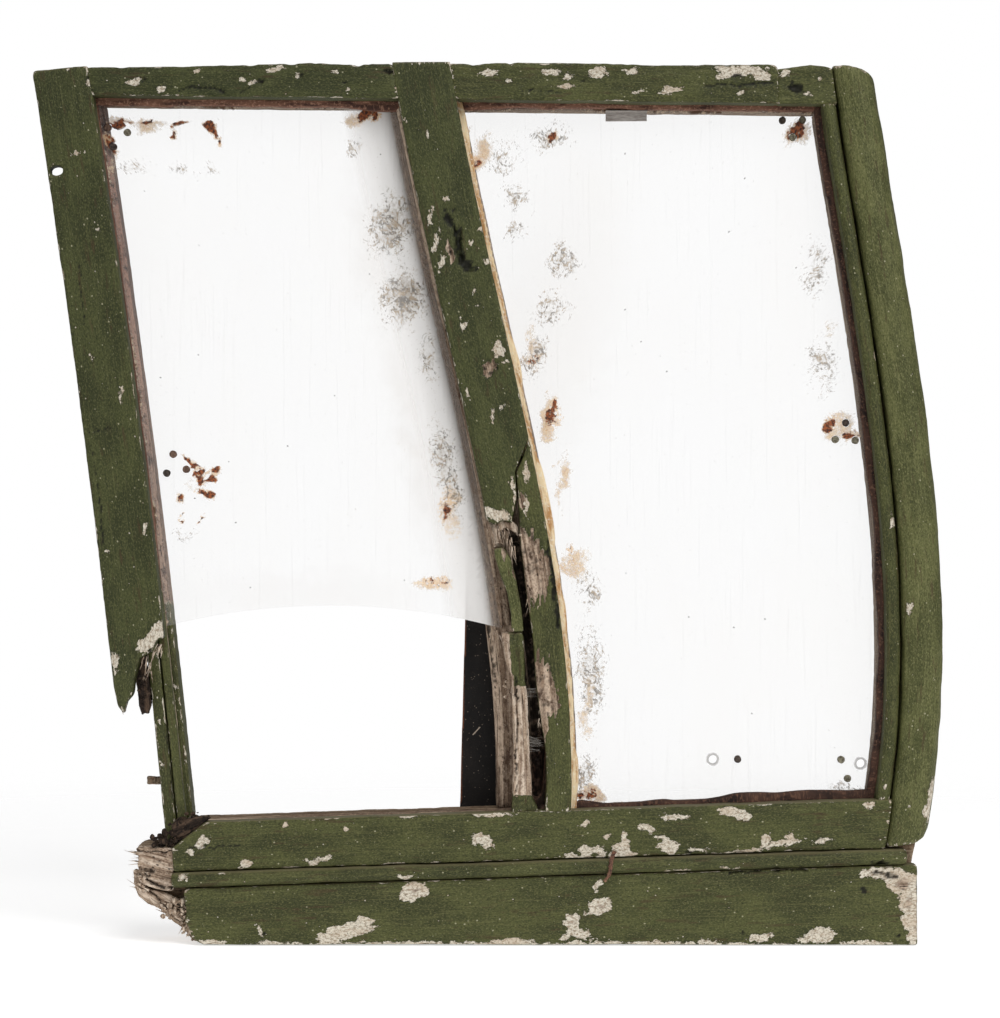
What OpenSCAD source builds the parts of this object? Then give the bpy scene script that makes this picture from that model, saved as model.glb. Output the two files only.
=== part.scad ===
// Two-light timber side window from a vehicle with curved body sides, weathered and damaged.
// Origin: middle of the underside of the sill. +X is to the right, +Z is up, the painted face looks along -Y.
// Every pillar edge is one gentle curve, given as [foot, lean, bow, skew]; see bend() for its meaning.

/* [Overall] */
// Overall width at the widest part of the pillars
frame_width = 548; // [450:1:680]
// Overall height from the underside of the sill to the top edge
frame_height = 530; // [440:1:650]

/* [Thicknesses, front to back] */
// How far the sill bead stands proud of the face boards
bead_proud = 4; // [2:0.1:6]
// Thickness of the painted face boards
face_thick = 14; // [10:0.1:20]
// Thickness of the bedding between the face boards and the panes
bedding_thick = 8; // [4:0.1:12]
// Thickness of each clear pane
pane_thick = 4; // [2:0.1:6]
// Thickness of the core behind the panes
shoulder_thick = 20; // [16:0.1:30]
// Thickness of the black strap on the back
strap_thick = 3; // [2:0.1:5]

/* [Pillar widths] */
// Width of the left face board
left_board_width = 34; // [28:0.1:42]
// Width of the middle face board
mullion_width = 35.5; // [30:0.1:44]
// Width of the bead beside the right pane
right_bead_width = 9.2; // [6:0.1:12]
// Width of the rounded moulding on the right
moulding_width = 25.8; // [20:0.1:34]
// How far the left core stile sits in from the edge of its face board
left_core_inset = 20.4; // [16:0.1:24]
// Width of the left core stile
left_core_width = 16.6; // [14:0.1:22]

/* [Rails] */
// Depth of the face rail along the top, at the middle
top_rail_depth = 23; // [18:0.1:32]
// Height of the sill board at the middle
sill_height = 40.2; // [32:0.1:52]
// Height of the half-round sill bead
sill_bead_height = 9.6; // [7:0.1:14]
// Height of the bottom face rail
bottom_rail_height = 29.6; // [24:0.1:40]
// Rise of the bottom rails for each unit of length
bottom_slope = 0.033; // [0:0.001:0.05]
// Open joint above and below the sill bead, and beside the moulding
groove_gap = 0.6; // [0.3:0.05:1.2]

/* [Panes and fixings] */
// How far a pane reaches under the face boards
pane_overlap = 5; // [4:0.1:7]
// Clearance around the edge of a pane
pane_gap = 1; // [0.5:0.1:2]
// Height of the blocks that the right pane stands on
setting_block_height = 3; // [2:0.1:4]
// Diameter of the fixing holes in the panes
pane_hole_d = 5.2; // [3:0.1:7]
// Diameter of the circle that each group of three pane holes lies on
pane_hole_circle_d = 14; // [12:0.1:20]
// Distance between the two lone holes near the foot of the right pane
pane_hole_pair_pitch = 15; // [10:0.1:24]
// Height of the crown of the left pane's broken edge
break_crown = 202.9; // [190:0.1:230]
// Radius of the left pane's broken edge
break_radius = 402; // [300:1:600]
// Diameter of the bolt hole in the left face board
bolt_hole_d = 8; // [5:0.1:11]
// Distance of the bolt hole below the top edge
bolt_hole_drop = 65; // [20:1:150]
// Wood left between the bolt hole and the edge of its board
bolt_hole_edge = 1.4; // [1:0.1:4]
// Shank diameter of the wood screws
screw_d = 4; // [3:0.1:5]
// Length of the wood screws
screw_length = 42; // [38:0.1:44]
// Clearance between a fastener and its hole, on the diameter
fastener_gap = 0.1; // [0.05:0.01:0.3]
// Diameter of the pegs through the tenons
peg_d = 6; // [4:0.1:7]
// Thickness of the tenons
tenon_thick = 8; // [5:0.1:10]
// Length of the tenons
tenon_length = 12; // [8:0.1:16]
// Clearance around each tenon in its mortise
tenon_gap = 0.2; // [0.1:0.05:0.4]
// Diameter of the rusted nail in the left stile
stile_nail_d = 5; // [3:0.1:6]
// Diameter of the bent nail on the sill
sill_nail_d = 2.4; // [1.6:0.1:3]
// Width of the black strap on the back
strap_width = 42; // [30:0.1:50]
// Height of the top of the strap
strap_top = 300; // [220:1:320]

/* [Hidden] */
$fn = 48;
// Straight lengths that each curved edge is made of
stations = 28;

green = "darkolivegreen";
bare = "rosybrown";
seal = "burlywood";
steel = "sienna";

// Depths, from the front of the bent nail to the back of the strap, centred on Y = 0
full_depth =
    sill_nail_d + bead_proud + face_thick + bedding_thick + pane_thick + shoulder_thick + strap_thick;
y_crest = sill_nail_d - full_depth / 2;
y_face = y_crest + bead_proud;
y_core = y_face + face_thick;
y_glass = y_core + bedding_thick;
y_shoulder = y_glass + pane_thick;
y_back = y_shoulder + shoulder_thick;
y_strap = y_back + strap_thick;
y_tenon = (y_shoulder + y_back - tenon_thick) / 2;

// Edge curves of the three pillars
left_edge = [64 - frame_width / 2, -64.8, 4.5, 0];
left_inner = shift(left_edge, left_board_width);
left_core = shift(left_edge, left_core_inset);
left_rebate = shift(left_edge, left_board_width - pane_overlap - pane_gap);
left_shoulder = shift(left_core, left_core_width);
mullion_left = [5.3, -63.7, 23.2, 18];
mullion_right = shift(mullion_left, mullion_width);
// The core behind the mullion shows on its left, more at the top than at the foot
mullion_shoulder_left = [mullion_left[0] - 9, mullion_left[1] - 4, mullion_left[2], mullion_left[3]];
mullion_shoulder_right = shift(mullion_right, 4);
mullion_rebate_left = shift(mullion_left, pane_overlap + pane_gap);
mullion_rebate_right = shift(mullion_right, -pane_overlap - pane_gap);
right_groove = [frame_width / 2 - 51, -17.6, 29.8, 15.3];
right_inner = shift(right_groove, -right_bead_width);
right_shoulder = shift(right_inner, -2.5);
right_rebate = shift(right_inner, pane_overlap + pane_gap);
right_core = shift(right_groove, moulding_width - 6);

// Sloping lines of the rails: [height on the centre line, rise for each unit of length]
ground = [0, 0];
sill_top = [sill_height, bottom_slope];
rail_foot = [sill_height + sill_bead_height, bottom_slope];
rail_top = [rail_foot[0] + bottom_rail_height, bottom_slope];
foot_rebate = [rail_top[0] - pane_overlap - pane_gap - setting_block_height, bottom_slope];
pane_foot = raise(foot_rebate, setting_block_height);
head = [frame_height - top_rail_depth, -0.012];
head_shoulder = raise(head, -2);
head_bed = raise(head, -3);
head_rebate = raise(head, pane_overlap + pane_gap);
core_top = [frame_height - 8, 0];
// Level where the rotted left end of the core rail stops, and the foot of the stile above it
rot_top = 58.8;

bolt_hole_height = frame_height - bolt_hole_drop;
// Level of the right end of the left pane's broken edge
break_foot = break_crown - 13.5;

// Ends of the bottom pieces, counted from the outer side of the left stile's foot
foot_x = at(left_core, rot_top);
rail_end_left = foot_x + 5.8;
sill_end_left = foot_x + 13.5;
sill_end_right = frame_width / 2 - 17.5;
bead_end_right = frame_width / 2 - 24;

// Screw positions as [x, z]; the rails' screws follow the rails' slope
stile_screws = [for (z = [215, (frame_height + 125) / 2, frame_height - 90]) [at(left_core, z) + 3.9, z]];
mullion_screws = [for (z = [330, frame_height - 60]) [at(mullion_left, z) + mullion_width / 2, z]];
strip_screws = [[at(mullion_right, 120) - 12, 120]];
head_screws = [for (x = [-160, 50, 140]) [x, (head_rebate[0] + core_top[0]) / 2 - 0.3]];
rail_screws = [for (x = [-120, 90, 190]) [x, rail_foot[0] + 11 + bottom_slope * x]];
sill_screws = [for (x = [-120, 60, 190]) [x, 22]];
all_screws = concat(stile_screws, mullion_screws, strip_screws, head_screws, rail_screws, sill_screws);
strap_screw_heights = [35, 150, 270];
strap_screw_spots = [for (z = strap_screw_heights) [strap_middle(z) + 9, z]];
strap_screw_length = strap_thick + 15;
screw_head_d = 1.75 * screw_d;

// Groups of pane holes as [x, z, turn], each beside the edge of its light
ring_reach = (pane_hole_circle_d + pane_hole_d) / 2;
ring_top_left = head[0] - 18.4;
ring_top_right = head[0] - 12.5;
left_pane_rings = [
    [at(left_inner, ring_top_left) + ring_reach - 1.5, ring_top_left, 136],
    [at(left_inner, 288) + ring_reach + 6.7, 288, 101]
];
right_pane_rings = [
    [at(right_inner, ring_top_right) - ring_reach - 7.2, ring_top_right, 151],
    [at(right_inner, 307) - ring_reach - 3.8, 307, 88],
    [at(right_inner, 104.7) - ring_reach - 6, 104.7, 139]
];
pane_pair = [at(right_inner, 109.5) - 99.3, 109.5];
stile_nail_spot = [y_shoulder + 6, 96];
sill_nail_spot = [75.9, rail_foot[0] + bottom_slope * 75.9 + 3.2];

// A curved edge: how far it stands from the centre line at station i
function bend(c, i) =
    let (t = i / stations) c[0] + c[1] * t + 4 * t * (1 - t) * (c[2] + c[3] * (1 - 2 * t));
// The same edge at any height, along the straight lengths between stations
function at(c, z) =
    let (u = z / frame_height * stations, i = max(0, min(stations - 1, floor(u))))
    bend(c, i) + (bend(c, i + 1) - bend(c, i)) * (u - i);
function shift(c, dx) = [c[0] + dx, c[1], c[2], c[3]];
function raise(l, dz) = [l[0] + dz, l[1]];
function level(l, x) = l[0] + l[1] * x;
// Height where an edge crosses a rail line
function cross_z(c, l) = level(l, at(c, level(l, at(c, level(l, at(c, l[0]))))));
// Points of an edge from height z0 up to z1
function run(c, z0, z1) =
    let (s = frame_height / stations)
    concat(
        [[at(c, z0), z0]],
        [for (i = [1 : stations - 1]) if (i * s > z0 + 0.01 && i * s < z1 - 0.01) [at(c, i * s), i * s]],
        [[at(c, z1), z1]]
    );
function reverse(v) = [for (i = [len(v) - 1 : -1 : 0]) v[i]];
// Closed outline between edges a (left) and b (right), from line lo up to line hi
function strip(a, b, lo, hi) =
    concat(run(b, cross_z(b, lo), cross_z(b, hi)), reverse(run(a, cross_z(a, lo), cross_z(a, hi))));
// Points given as [distance from an edge, height], turned into [x, height]
function beside(c, points) = [for (p = points) [at(c, p[1]) + p[0], p[1]]];
// Middle of the strap at height z: it leans a little the other way from the mullion
function strap_middle(z) = at(mullion_left, 80) - 32 + strap_width / 2 + 0.0266 * (z - 80);

// A flat piece with the outline given in X and Z, from depth y0 to y1
module plate(points, y0, y1) {
    translate([0, y1, 0])
        rotate([90, 0, 0])
            linear_extrude(height = y1 - y0)
                polygon(points);
}

module rod(d, y0, y1, spot) {
    translate([spot[0], y1, spot[1]])
        rotate([90, 0, 0])
            cylinder(h = y1 - y0, d = d);
}

// A screw from the back: a countersunk head flush at depth y, and a shank running towards the front
module screw(spot, y, len, gap) {
    rod(screw_d + gap, y - len - gap, y, spot);
    translate([spot[0], y, spot[1]])
        rotate([90, 0, 0])
            cylinder(h = screw_head_d / 2, d1 = screw_head_d + gap, d2 = screw_d + gap);
}

module screw_holes(spots) {
    for (spot = spots) screw(spot, y_back, screw_length, fastener_gap);
}

module strap_holes() {
    for (spot = strap_screw_spots) screw(spot, y_strap, strap_screw_length, fastener_gap);
}

// Tenons, or the mortises that take them when gap is given
module tenon_strip(a, b, lo, hi, gap) {
    plate(strip(shift(a, 3 - gap), shift(b, -3 + gap), lo, hi), y_tenon - gap, y_tenon + tenon_thick + gap);
}

module top_tenon(a, b, gap = 0) {
    tenon_strip(a, b, raise(head_shoulder, -1), raise(head_shoulder, tenon_length + gap), gap);
}

module foot_tenon(a, b, gap = 0) {
    tenon_strip(a, b, raise(rail_top, -tenon_length - gap), raise(rail_top, 1), gap);
}

// The left stile's foot tenon is a narrow leg, because the rail is rotted away beside it
module left_foot_tenon(gap = 0) {
    plate(
        strip(shift(left_core, 1 - gap), shift(left_core, 5 + gap), [rot_top - tenon_length - gap, 0],
            [rot_top + 1, 0]),
        y_tenon - gap, y_tenon + tenon_thick + gap
    );
}

peg_spots = [
    [
        (at(left_core, cross_z(left_core, head)) + at(left_shoulder, cross_z(left_core, head))) / 2,
        head[0] + 4
    ],
    [at(mullion_left, head[0]) + mullion_width / 2, head[0] + 4],
    [at(right_inner, head[0]) + 10, head[0] + 4],
    [at(mullion_left, rail_top[0]) + mullion_width / 2, rail_top[0] - 5],
    [at(right_inner, rail_top[0]) + 10, rail_top[0] + 2]
];

module pegs(gap = 0) {
    for (spot = peg_spots) rod(peg_d + gap, y_back - 17, y_back, spot);
}

// ---- the core frame ----

stile_leg = shift(left_core, 6);
rot_corner = foot_x + 9.4;

module core_left_stile() {
    color(green)
    difference() {
        union() {
            plate(strip(left_core, left_rebate, rail_top, head_rebate), y_core, y_shoulder);
            plate(strip(left_core, left_shoulder, rail_top, head_shoulder), y_shoulder, y_back);
            plate(strip(left_core, stile_leg, [rot_top, 0], raise(rail_top, 1)), y_core, y_back);
            top_tenon(left_core, left_shoulder);
            left_foot_tenon();
        }
        pegs(fastener_gap);
        screw_holes(stile_screws);
        stile_nail_shape(fastener_gap);
    }
}

// The long split runs down the middle of the mullion and into the core behind it
crevice = [
    [12.3, 241.8], [17.7, 243], [18.7, 207], [19.7, 177], [19.2, 151.8], [20.4, 116.4], [18, 86],
    [12, 86], [12, 116.4], [12.6, 151.8], [12, 183], [10, 213]
];

module core_mullion() {
    color(bare)
    difference() {
        union() {
            plate(
                strip(mullion_rebate_left, mullion_rebate_right, foot_rebate, head_rebate),
                y_core, y_shoulder
            );
            plate(
                strip(mullion_shoulder_left, mullion_shoulder_right, rail_top, head_shoulder),
                y_shoulder, y_back
            );
            top_tenon(mullion_shoulder_left, mullion_shoulder_right);
            foot_tenon(mullion_shoulder_left, mullion_shoulder_right);
        }
        plate(beside(mullion_left, crevice), y_core - 1, y_core + 9);
        pegs(fastener_gap);
        screw_holes(concat(mullion_screws, strip_screws));
        strap_holes();
    }
}

module core_right_stile() {
    color(bare)
    difference() {
        union() {
            plate(strip(right_rebate, right_core, foot_rebate, head_rebate), y_core, y_shoulder);
            plate(strip(right_shoulder, right_core, rail_top, head_shoulder), y_shoulder, y_back);
            top_tenon(right_shoulder, right_core);
            foot_tenon(right_shoulder, right_core);
        }
        pegs(fastener_gap);
    }
}

module core_top_rail() {
    color(bare)
    difference() {
        union() {
            plate(strip(left_core, right_core, head_rebate, core_top), y_core, y_shoulder);
            plate(strip(left_core, right_core, head_shoulder, core_top), y_shoulder, y_back);
        }
        top_tenon(left_core, left_shoulder, tenon_gap);
        top_tenon(mullion_shoulder_left, mullion_shoulder_right, tenon_gap);
        top_tenon(right_shoulder, right_core, tenon_gap);
        pegs(fastener_gap);
        screw_holes(head_screws);
    }
}

// The core's bottom rail: its left end is rotted to a ragged stub
module core_bottom_rail() {
    left = foot_x - 15;
    end = [
        [left + 31.5, 0], [left + 30, 3], [left + 25.5, 8], [left + 19.5, 12], [left + 14.5, 19.2],
        [left + 5.5, 22], [left + 1, 30], [left - 1.5, 44.4], [left - 1.5, rot_top], [rot_corner, rot_top]
    ];
    outer = run(right_core, 0, cross_z(right_core, foot_rebate));
    outer_back = run(right_core, 0, cross_z(right_core, rail_top));
    color(bare)
    difference() {
        union() {
            plate(
                concat(reverse(end), outer, [[rot_corner, level(foot_rebate, rot_corner)]]),
                y_core, y_shoulder
            );
            plate(
                concat(reverse(end), outer_back, [[rot_corner, level(rail_top, rot_corner)]]),
                y_shoulder, y_back
            );
        }
        left_foot_tenon(tenon_gap);
        foot_tenon(mullion_shoulder_left, mullion_shoulder_right, tenon_gap);
        foot_tenon(right_shoulder, right_core, tenon_gap);
        pegs(fastener_gap);
        screw_holes(concat(rail_screws, sill_screws));
        strap_holes();
    }
}

module joint_pegs() {
    color(bare) pegs();
}

// Crumbling wood in the corner where the left stile stood on the rail
module corner_rot() {
    x = rail_end_left;
    z = rot_top - 0.6;
    color("dimgray")
    plate(
        [
            [x - 1.6, z + 6.6], [x + 3.2, z + 3], [x + 8, z + 6.7], [x + 14, z + 11.4], [x + 19.6, z + 15.9],
            [x + 22, z + 17.6], [x + 16, z + 19.4], [x + 9, z + 17], [x + 3, z + 17.6], [x - 1, z + 13]
        ],
        y_face + 3, y_core
    );
}

// ---- face boards on the left and along the top ----

left_top_outer = frame_height - 6.2;
left_top_inner = frame_height - 3;

module left_face_board() {
    // Broken foot, from its outer edge round to the inner edge
    foot = beside(left_edge, [
        [0, 154.5], [1.1, 144], [4.4, 139.2], [6.9, 146], [11.2, 150.6], [13, 159], [18, 172.8],
        [27.6, 177.6], [29.3, 183.6]
    ]);
    hole = [at(left_edge, bolt_hole_height) + bolt_hole_edge + bolt_hole_d / 2, bolt_hole_height];
    color(green)
    difference() {
        plate(
            concat(
                foot,
                run(left_inner, 185.1, left_top_inner),
                reverse(run(left_edge, 155, left_top_outer))
            ),
            y_face, y_core
        );
        rod(bolt_hole_d, y_face - 1, y_core + 1, hole);
        screw_holes(stile_screws);
    }
}

// Rough packing behind the left face board, beside the core stile
module left_packing_fillet() {
    ragged = beside(left_core, [[-8.4, 141], [-7.6, 136.2], [-5.2, 139.4], [-3, 137.6], [0, 144]]);
    color("dimgray")
    plate(
        concat(
            ragged,
            run(left_core, 146, left_top_outer - 4),
            reverse(run(shift(left_core, -9), 143, left_top_outer - 4))
        ),
        y_core, y_core + 10
    );
}

// The bead that holds the left pane against its shoulder; the pane above is trapped behind it
module left_stile_bead() {
    color(green)
    plate(
        strip(shift(left_rebate, groove_gap), left_inner, raise(rail_top, 0.3), raise(head, -0.5)),
        y_core, y_glass
    );
}

module top_face_rail_left() {
    top = [
        [at(mullion_left, frame_height - 1) - 0.1, frame_height - 0.8], [-85, frame_height - 1.2],
        [-104, frame_height - 0.4], [-150, frame_height - 1.6], [-200, frame_height - 2.4],
        [at(left_inner, left_top_inner), left_top_inner]
    ];
    color(green)
    difference() {
        plate(
            concat(
                reverse(run(left_inner, cross_z(left_inner, head), left_top_inner - 0.01)),
                run(mullion_left, cross_z(mullion_left, head), frame_height - 1),
                top
            ),
            y_face, y_core
        );
        screw_holes(head_screws);
    }
}

corner_block_x = frame_width / 2 - 100.8;

module top_face_rail_right() {
    color(green)
    difference() {
        plate(
            concat(
                run(mullion_right, cross_z(mullion_right, head), frame_height - 0.6),
                [
                    [18, frame_height], [60, frame_height - 0.4], [110, frame_height - 1.4],
                    [corner_block_x - 2, frame_height - 1], [corner_block_x, frame_height - 3.8],
                    [corner_block_x, level(head, corner_block_x)]
                ]
            ),
            y_face, y_core
        );
        screw_holes(head_screws);
    }
}

module top_right_corner_block() {
    color(green)
    plate(
        concat(
            run(shift(right_groove, -groove_gap), cross_z(right_groove, head), frame_height - 3),
            [
                [corner_block_x + 20, frame_height - 1.6], [corner_block_x + 9, frame_height - 3.4],
                [corner_block_x + 0.3, frame_height - 4.4],
                [corner_block_x + 0.3, level(head, corner_block_x)]
            ]
        ),
        y_face + 0.8, y_core
    );
}

// ---- the mullion's face, split and broken near its foot ----

// Torn lower end of the whole part of the board, then the long split up to its right edge
torn_end = [[0, 255.6], [5, 252.6], [10.3, 255.6], [15.4, 253.8]];
split = [[21.2, 268.8], [22.9, 283.8], [27.4, 291]];
split_start = 304;

module mullion_face_board() {
    color(green)
    difference() {
        plate(
            concat(
                beside(mullion_left, concat(torn_end, split)),
                run(mullion_right, split_start, frame_height - 0.6),
                reverse(run(mullion_left, 255.7, frame_height - 1))
            ),
            y_face, y_core
        );
        screw_holes(mullion_screws);
    }
}

// Fibres left under the torn end, round a hole that the rot has opened
module mullion_torn_wood() {
    hole = [
        [18.6, 250], [17.4, 245], [15.5, 248.5], [11, 251.4], [7.2, 248], [8, 242.6], [8.8, 239.8], [1.8, 239.3]
    ];
    color(bare)
    plate(beside(mullion_left, concat(torn_end, hole)), y_face + 4, y_core);
}

module mullion_right_strip() {
    left = [
        [mullion_width - 0.2, split_start - 1], [28, 290], [23.5, 283.4], [21.8, 268.4], [19.4, 250],
        [18.6, 245], [18, 238], [17, 207], [17.4, 183], [16.8, 152], [19.4, 124], [20.4, 116], [20.6, 98]
    ];
    foot_x = at(mullion_left, 82) + 20;
    color(green)
    difference() {
        plate(
            concat(
                beside(mullion_left, left),
                [[foot_x, level(rail_top, foot_x)]],
                run(mullion_right, cross_z(mullion_right, rail_top), split_start - 1.5)
            ),
            y_face, y_core
        );
        screw_holes(strip_screws);
    }
}

module mullion_loose_splinter() {
    outline = [
        [1.8, 237], [1.6, 232.8], [3.2, 220.5], [5.6, 211.8], [6.3, 198], [5.4, 188.8], [12.5, 188.6],
        [12.9, 201], [12, 221], [11, 230.4], [7.8, 237.6]
    ];
    color(green)
    plate(beside(mullion_left, outline), y_face, y_core);
}

module mullion_foot_strip() {
    side = [[-1.5, 186.4], [-0.5, 172], [2, 160], [1, 130], [0.8, 117], [0.4, 89]];
    edge = [
        [15.7, 82], [12.4, 89], [11.6, 103], [10.8, 121], [10.9, 150], [10.4, 159], [11.8, 183], [11.9, 187]
    ];
    foot_left = at(mullion_left, 80);
    foot_right = foot_left + 16;
    color(bare)
    plate(
        concat(
            beside(mullion_left, side),
            [[foot_left, level(rail_top, foot_left)], [foot_right, level(rail_top, foot_right)]],
            beside(mullion_left, edge)
        ),
        y_face, y_core
    );
}

// ---- the right-hand pillar: a small bead, a groove and a broad rounded moulding ----

// A moulding that follows an edge. profile holds [across, depth] along its front; foot and top give its
// lower and upper height at each profile point, so that its ends can be rounded.
module swept_moulding(c, profile, foot, top) {
    cols = len(profile);
    ring = 2 * cols;
    verts = [
        for (i = [0 : stations])
        for (side = [0, 1])
        for (j = [0 : cols - 1])
        let (z = foot[j] + (top[j] - foot[j]) * i / stations)
        [at(c, z) + profile[j][0], side == 0 ? profile[j][1] : y_core, z]
    ];
    fronts = [
        for (i = [0 : stations - 1])
        for (j = [0 : cols - 2])
        let (a = i * ring + j)
        for (f = [[a, a + ring, a + 1], [a + 1, a + ring, a + ring + 1]]) f
    ];
    backs = [
        for (i = [0 : stations - 1])
        for (j = [0 : cols - 2])
        let (a = i * ring + cols + j)
        for (f = [[a, a + 1, a + ring], [a + 1, a + ring + 1, a + ring]]) f
    ];
    sides = [
        for (i = [0 : stations - 1])
        let (a = i * ring, b = a + cols, c0 = a + cols - 1, d = b + cols - 1)
        for (f = [[a, b, a + ring], [b, b + ring, a + ring], [c0, c0 + ring, d], [d, c0 + ring, d + ring]]) f
    ];
    ends = [
        for (j = [0 : cols - 2])
        let (a = j, b = cols + j, e = stations * ring + j, g = e + cols)
        for (f = [[a, a + 1, b], [a + 1, b + 1, b], [e, g, e + 1], [e + 1, g, g + 1]]) f
    ];
    polyhedron(points = verts, faces = concat(fronts, backs, sides, ends), convexity = 6);
}

module right_inner_bead() {
    w = right_bead_width - groove_gap;
    profile = [
        [0, y_face + 3], [w * 0.15, y_face + 0.8], [w / 2, y_face], [w * 0.85, y_face + 0.8], [w, y_face + 3]
    ];
    foot = [for (p = profile) level(rail_top, at(right_inner, rail_top[0]) + p[0]) + 0.2];
    top = [for (p = profile) level(head, at(right_inner, head[0]) + p[0]) - 0.2];
    color(green) swept_moulding(right_inner, profile, foot, top);
}

module right_outer_moulding() {
    w = moulding_width - groove_gap;
    // [share of the width, depth below the crest, rise of the foot, drop of the top]
    shape = [
        [0, 6.5, 0, 0], [0.05, 3, 0, 0], [0.18, 0.9, 0.4, 0], [0.38, 0, 1.2, 0.6], [0.58, 0.4, 2, 1.6],
        [0.76, 1.8, 3.4, 3.2], [0.89, 4.4, 6, 5.2], [0.97, 8, 10, 7], [1, 12, 16, 8.6]
    ];
    crest = y_face - 2;
    base = level(rail_foot, frame_width / 2 - 30) + 1.6;
    profile = [for (s = shape) [s[0] * w, crest + s[1]]];
    foot = [for (s = shape) base + s[2]];
    top = [for (s = shape) frame_height - 2.6 - s[3]];
    color(green) swept_moulding(shift(right_groove, groove_gap), profile, foot, top);
}

// ---- bottom rail, sill bead and sill ----

module bottom_face_rail() {
    cut_x = rail_end_left + 20;
    foot_line = raise(rail_foot, groove_gap / 2);
    color(green)
    difference() {
        plate(
            concat(
                [
                    [cut_x, level(rail_top, cut_x)], [rail_end_left, rot_top - 0.6],
                    [rail_end_left + 1, level(foot_line, rail_end_left + 1)]
                ],
                run(right_groove, cross_z(right_groove, foot_line), cross_z(right_groove, rail_top))
            ),
            y_face, y_core
        );
        screw_holes(rail_screws);
        sill_nail_shape(fastener_gap);
    }
}

// The half-round bead lies along the slope of the rails
module sill_bead() {
    length = bead_end_right - rail_end_left;
    r = sill_bead_height / 2 - groove_gap / 2;
    middle = [rail_end_left, level(sill_top, rail_end_left) + sill_bead_height / 2];
    color(green)
    translate([middle[0], 0, middle[1]])
        rotate([0, -atan(bottom_slope), 0])
            rotate([90, 0, 90])
                linear_extrude(height = length) {
                    translate([y_crest + r, 0]) circle(r = r);
                    translate([y_crest + r, -r]) square([y_core - y_crest - r, 2 * r]);
                }
}

module sill_board() {
    top_line = raise(sill_top, -groove_gap / 2);
    color(green)
    difference() {
        plate(
            [
                [sill_end_left, level(top_line, sill_end_left)],
                [sill_end_left - 0.6, 31], [sill_end_left + 1, 20],
                [sill_end_left + 0.4, 14], [sill_end_left + 3, 9],
                [sill_end_left + 4.4, 4], [sill_end_left + 10, 0],
                [sill_end_right, 0], [sill_end_right, level(top_line, sill_end_right)]
            ],
            y_face, y_core
        );
        screw_holes(sill_screws);
    }
}

// What is left of the outer boards at the rotted corner
module rail_end_stub() {
    right = rail_end_left - 0.4;
    left = foot_x - 16;
    color(bare)
    plate(
        [
            [right, rot_top - 0.6], [left, rot_top - 0.2],
            [left - 0.4, 54], [left + 1.2, 52.6], [left + 0.6, 40],
            [left + 4, 35.6], [left + 12, 33.2], [right - 1, 31.6], [right, 36]
        ],
        y_face + 2, y_core
    );
}

module rail_end_splinter() {
    left = foot_x - 18.2;
    color(bare)
    plate(
        [
            [left, 45.4], [left + 0.4, 36], [left + 2.4, 29],
            [left + 9, 23.6], [left + 17, 19.6], [left + 22, 14],
            [left + 28, 10.5], [left + 30.4, 16], [left + 30, 26], [left + 22, 29.6], [left + 14, 31.4],
            [left + 7, 34], [left + 3.6, 38]
        ],
        y_face + 6, y_core
    );
}

// ---- panes ----

// Three holes on one circle; ring is [x, z, turn]
module hole_ring(ring) {
    for (a = [0, 120, 240]) {
        x = ring[0] + pane_hole_circle_d / 2 * cos(a + ring[2]);
        z = ring[1] + pane_hole_circle_d / 2 * sin(a + ring[2]);
        rod(pane_hole_d, y_glass - 1, y_shoulder + 1, [x, z]);
    }
}

// The left pane is broken off along a shallow arc; its lower right corner is snapped off too
module left_pane() {
    inner = shift(left_rebate, pane_gap);
    outer = shift(mullion_left, pane_overlap);
    corner = [at(mullion_left, break_foot) + 0.2, break_foot];
    middle = (at(inner, break_crown) + corner[0]) / 2;
    steps = 24;
    start = at(inner, break_foot + 0.5);
    arc = [
        for (i = [0 : steps])
        let (x = start + (corner[0] - start) * i / steps)
        [x, break_crown - break_radius + sqrt(pow(break_radius, 2) - pow(x - middle, 2))]
    ];
    top_line = raise(head, pane_overlap);
    color("whitesmoke")
    difference() {
        plate(
            concat(
                arc,
                run(outer, break_foot + 50, cross_z(outer, top_line)),
                reverse(run(inner, break_crown - 12, cross_z(inner, top_line)))
            ),
            y_glass, y_shoulder
        );
        for (ring = left_pane_rings) hole_ring(ring);
    }
}

module right_pane() {
    inner = shift(mullion_rebate_right, pane_gap);
    outer = shift(right_rebate, -pane_gap);
    color("whitesmoke")
    difference() {
        plate(strip(inner, outer, pane_foot, raise(head, pane_overlap)), y_glass, y_shoulder);
        for (ring = right_pane_rings) hole_ring(ring);
        for (side = [0, 1]) {
            rod(pane_hole_d, y_glass - 1, y_shoulder + 1, pane_pair + [side * pane_hole_pair_pitch, 0]);
        }
    }
}

// ---- bedding round the panes, between them and the face boards ----

module left_head_bedding() {
    color(seal)
    plate(
        strip(
            shift(left_inner, 0.1), mullion_rebate_left, head_bed, head_rebate
        ),
        y_core, y_glass
    );
}

module left_mullion_bedding() {
    color(bare)
    plate(
        strip(shift(mullion_left, -1.5), mullion_rebate_left, [break_foot + 2.6, 0], raise(head_bed, -0.1)),
        y_core, y_glass
    );
}

module left_foot_bedding() {
    color(bare)
    plate(
        strip(shift(left_inner, 0.1), mullion_rebate_left, foot_rebate, rail_top),
        y_core, y_glass
    );
}

module right_mullion_bedding() {
    color("sandybrown")
    plate(
        strip(mullion_rebate_right, shift(mullion_right, 4), foot_rebate, head_rebate),
        y_core, y_glass
    );
}

module right_head_bedding() {
    color(seal)
    plate(
        strip(shift(mullion_right, 4.1), shift(right_shoulder, -0.1), head_bed, head_rebate),
        y_core, y_glass
    );
}

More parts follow.
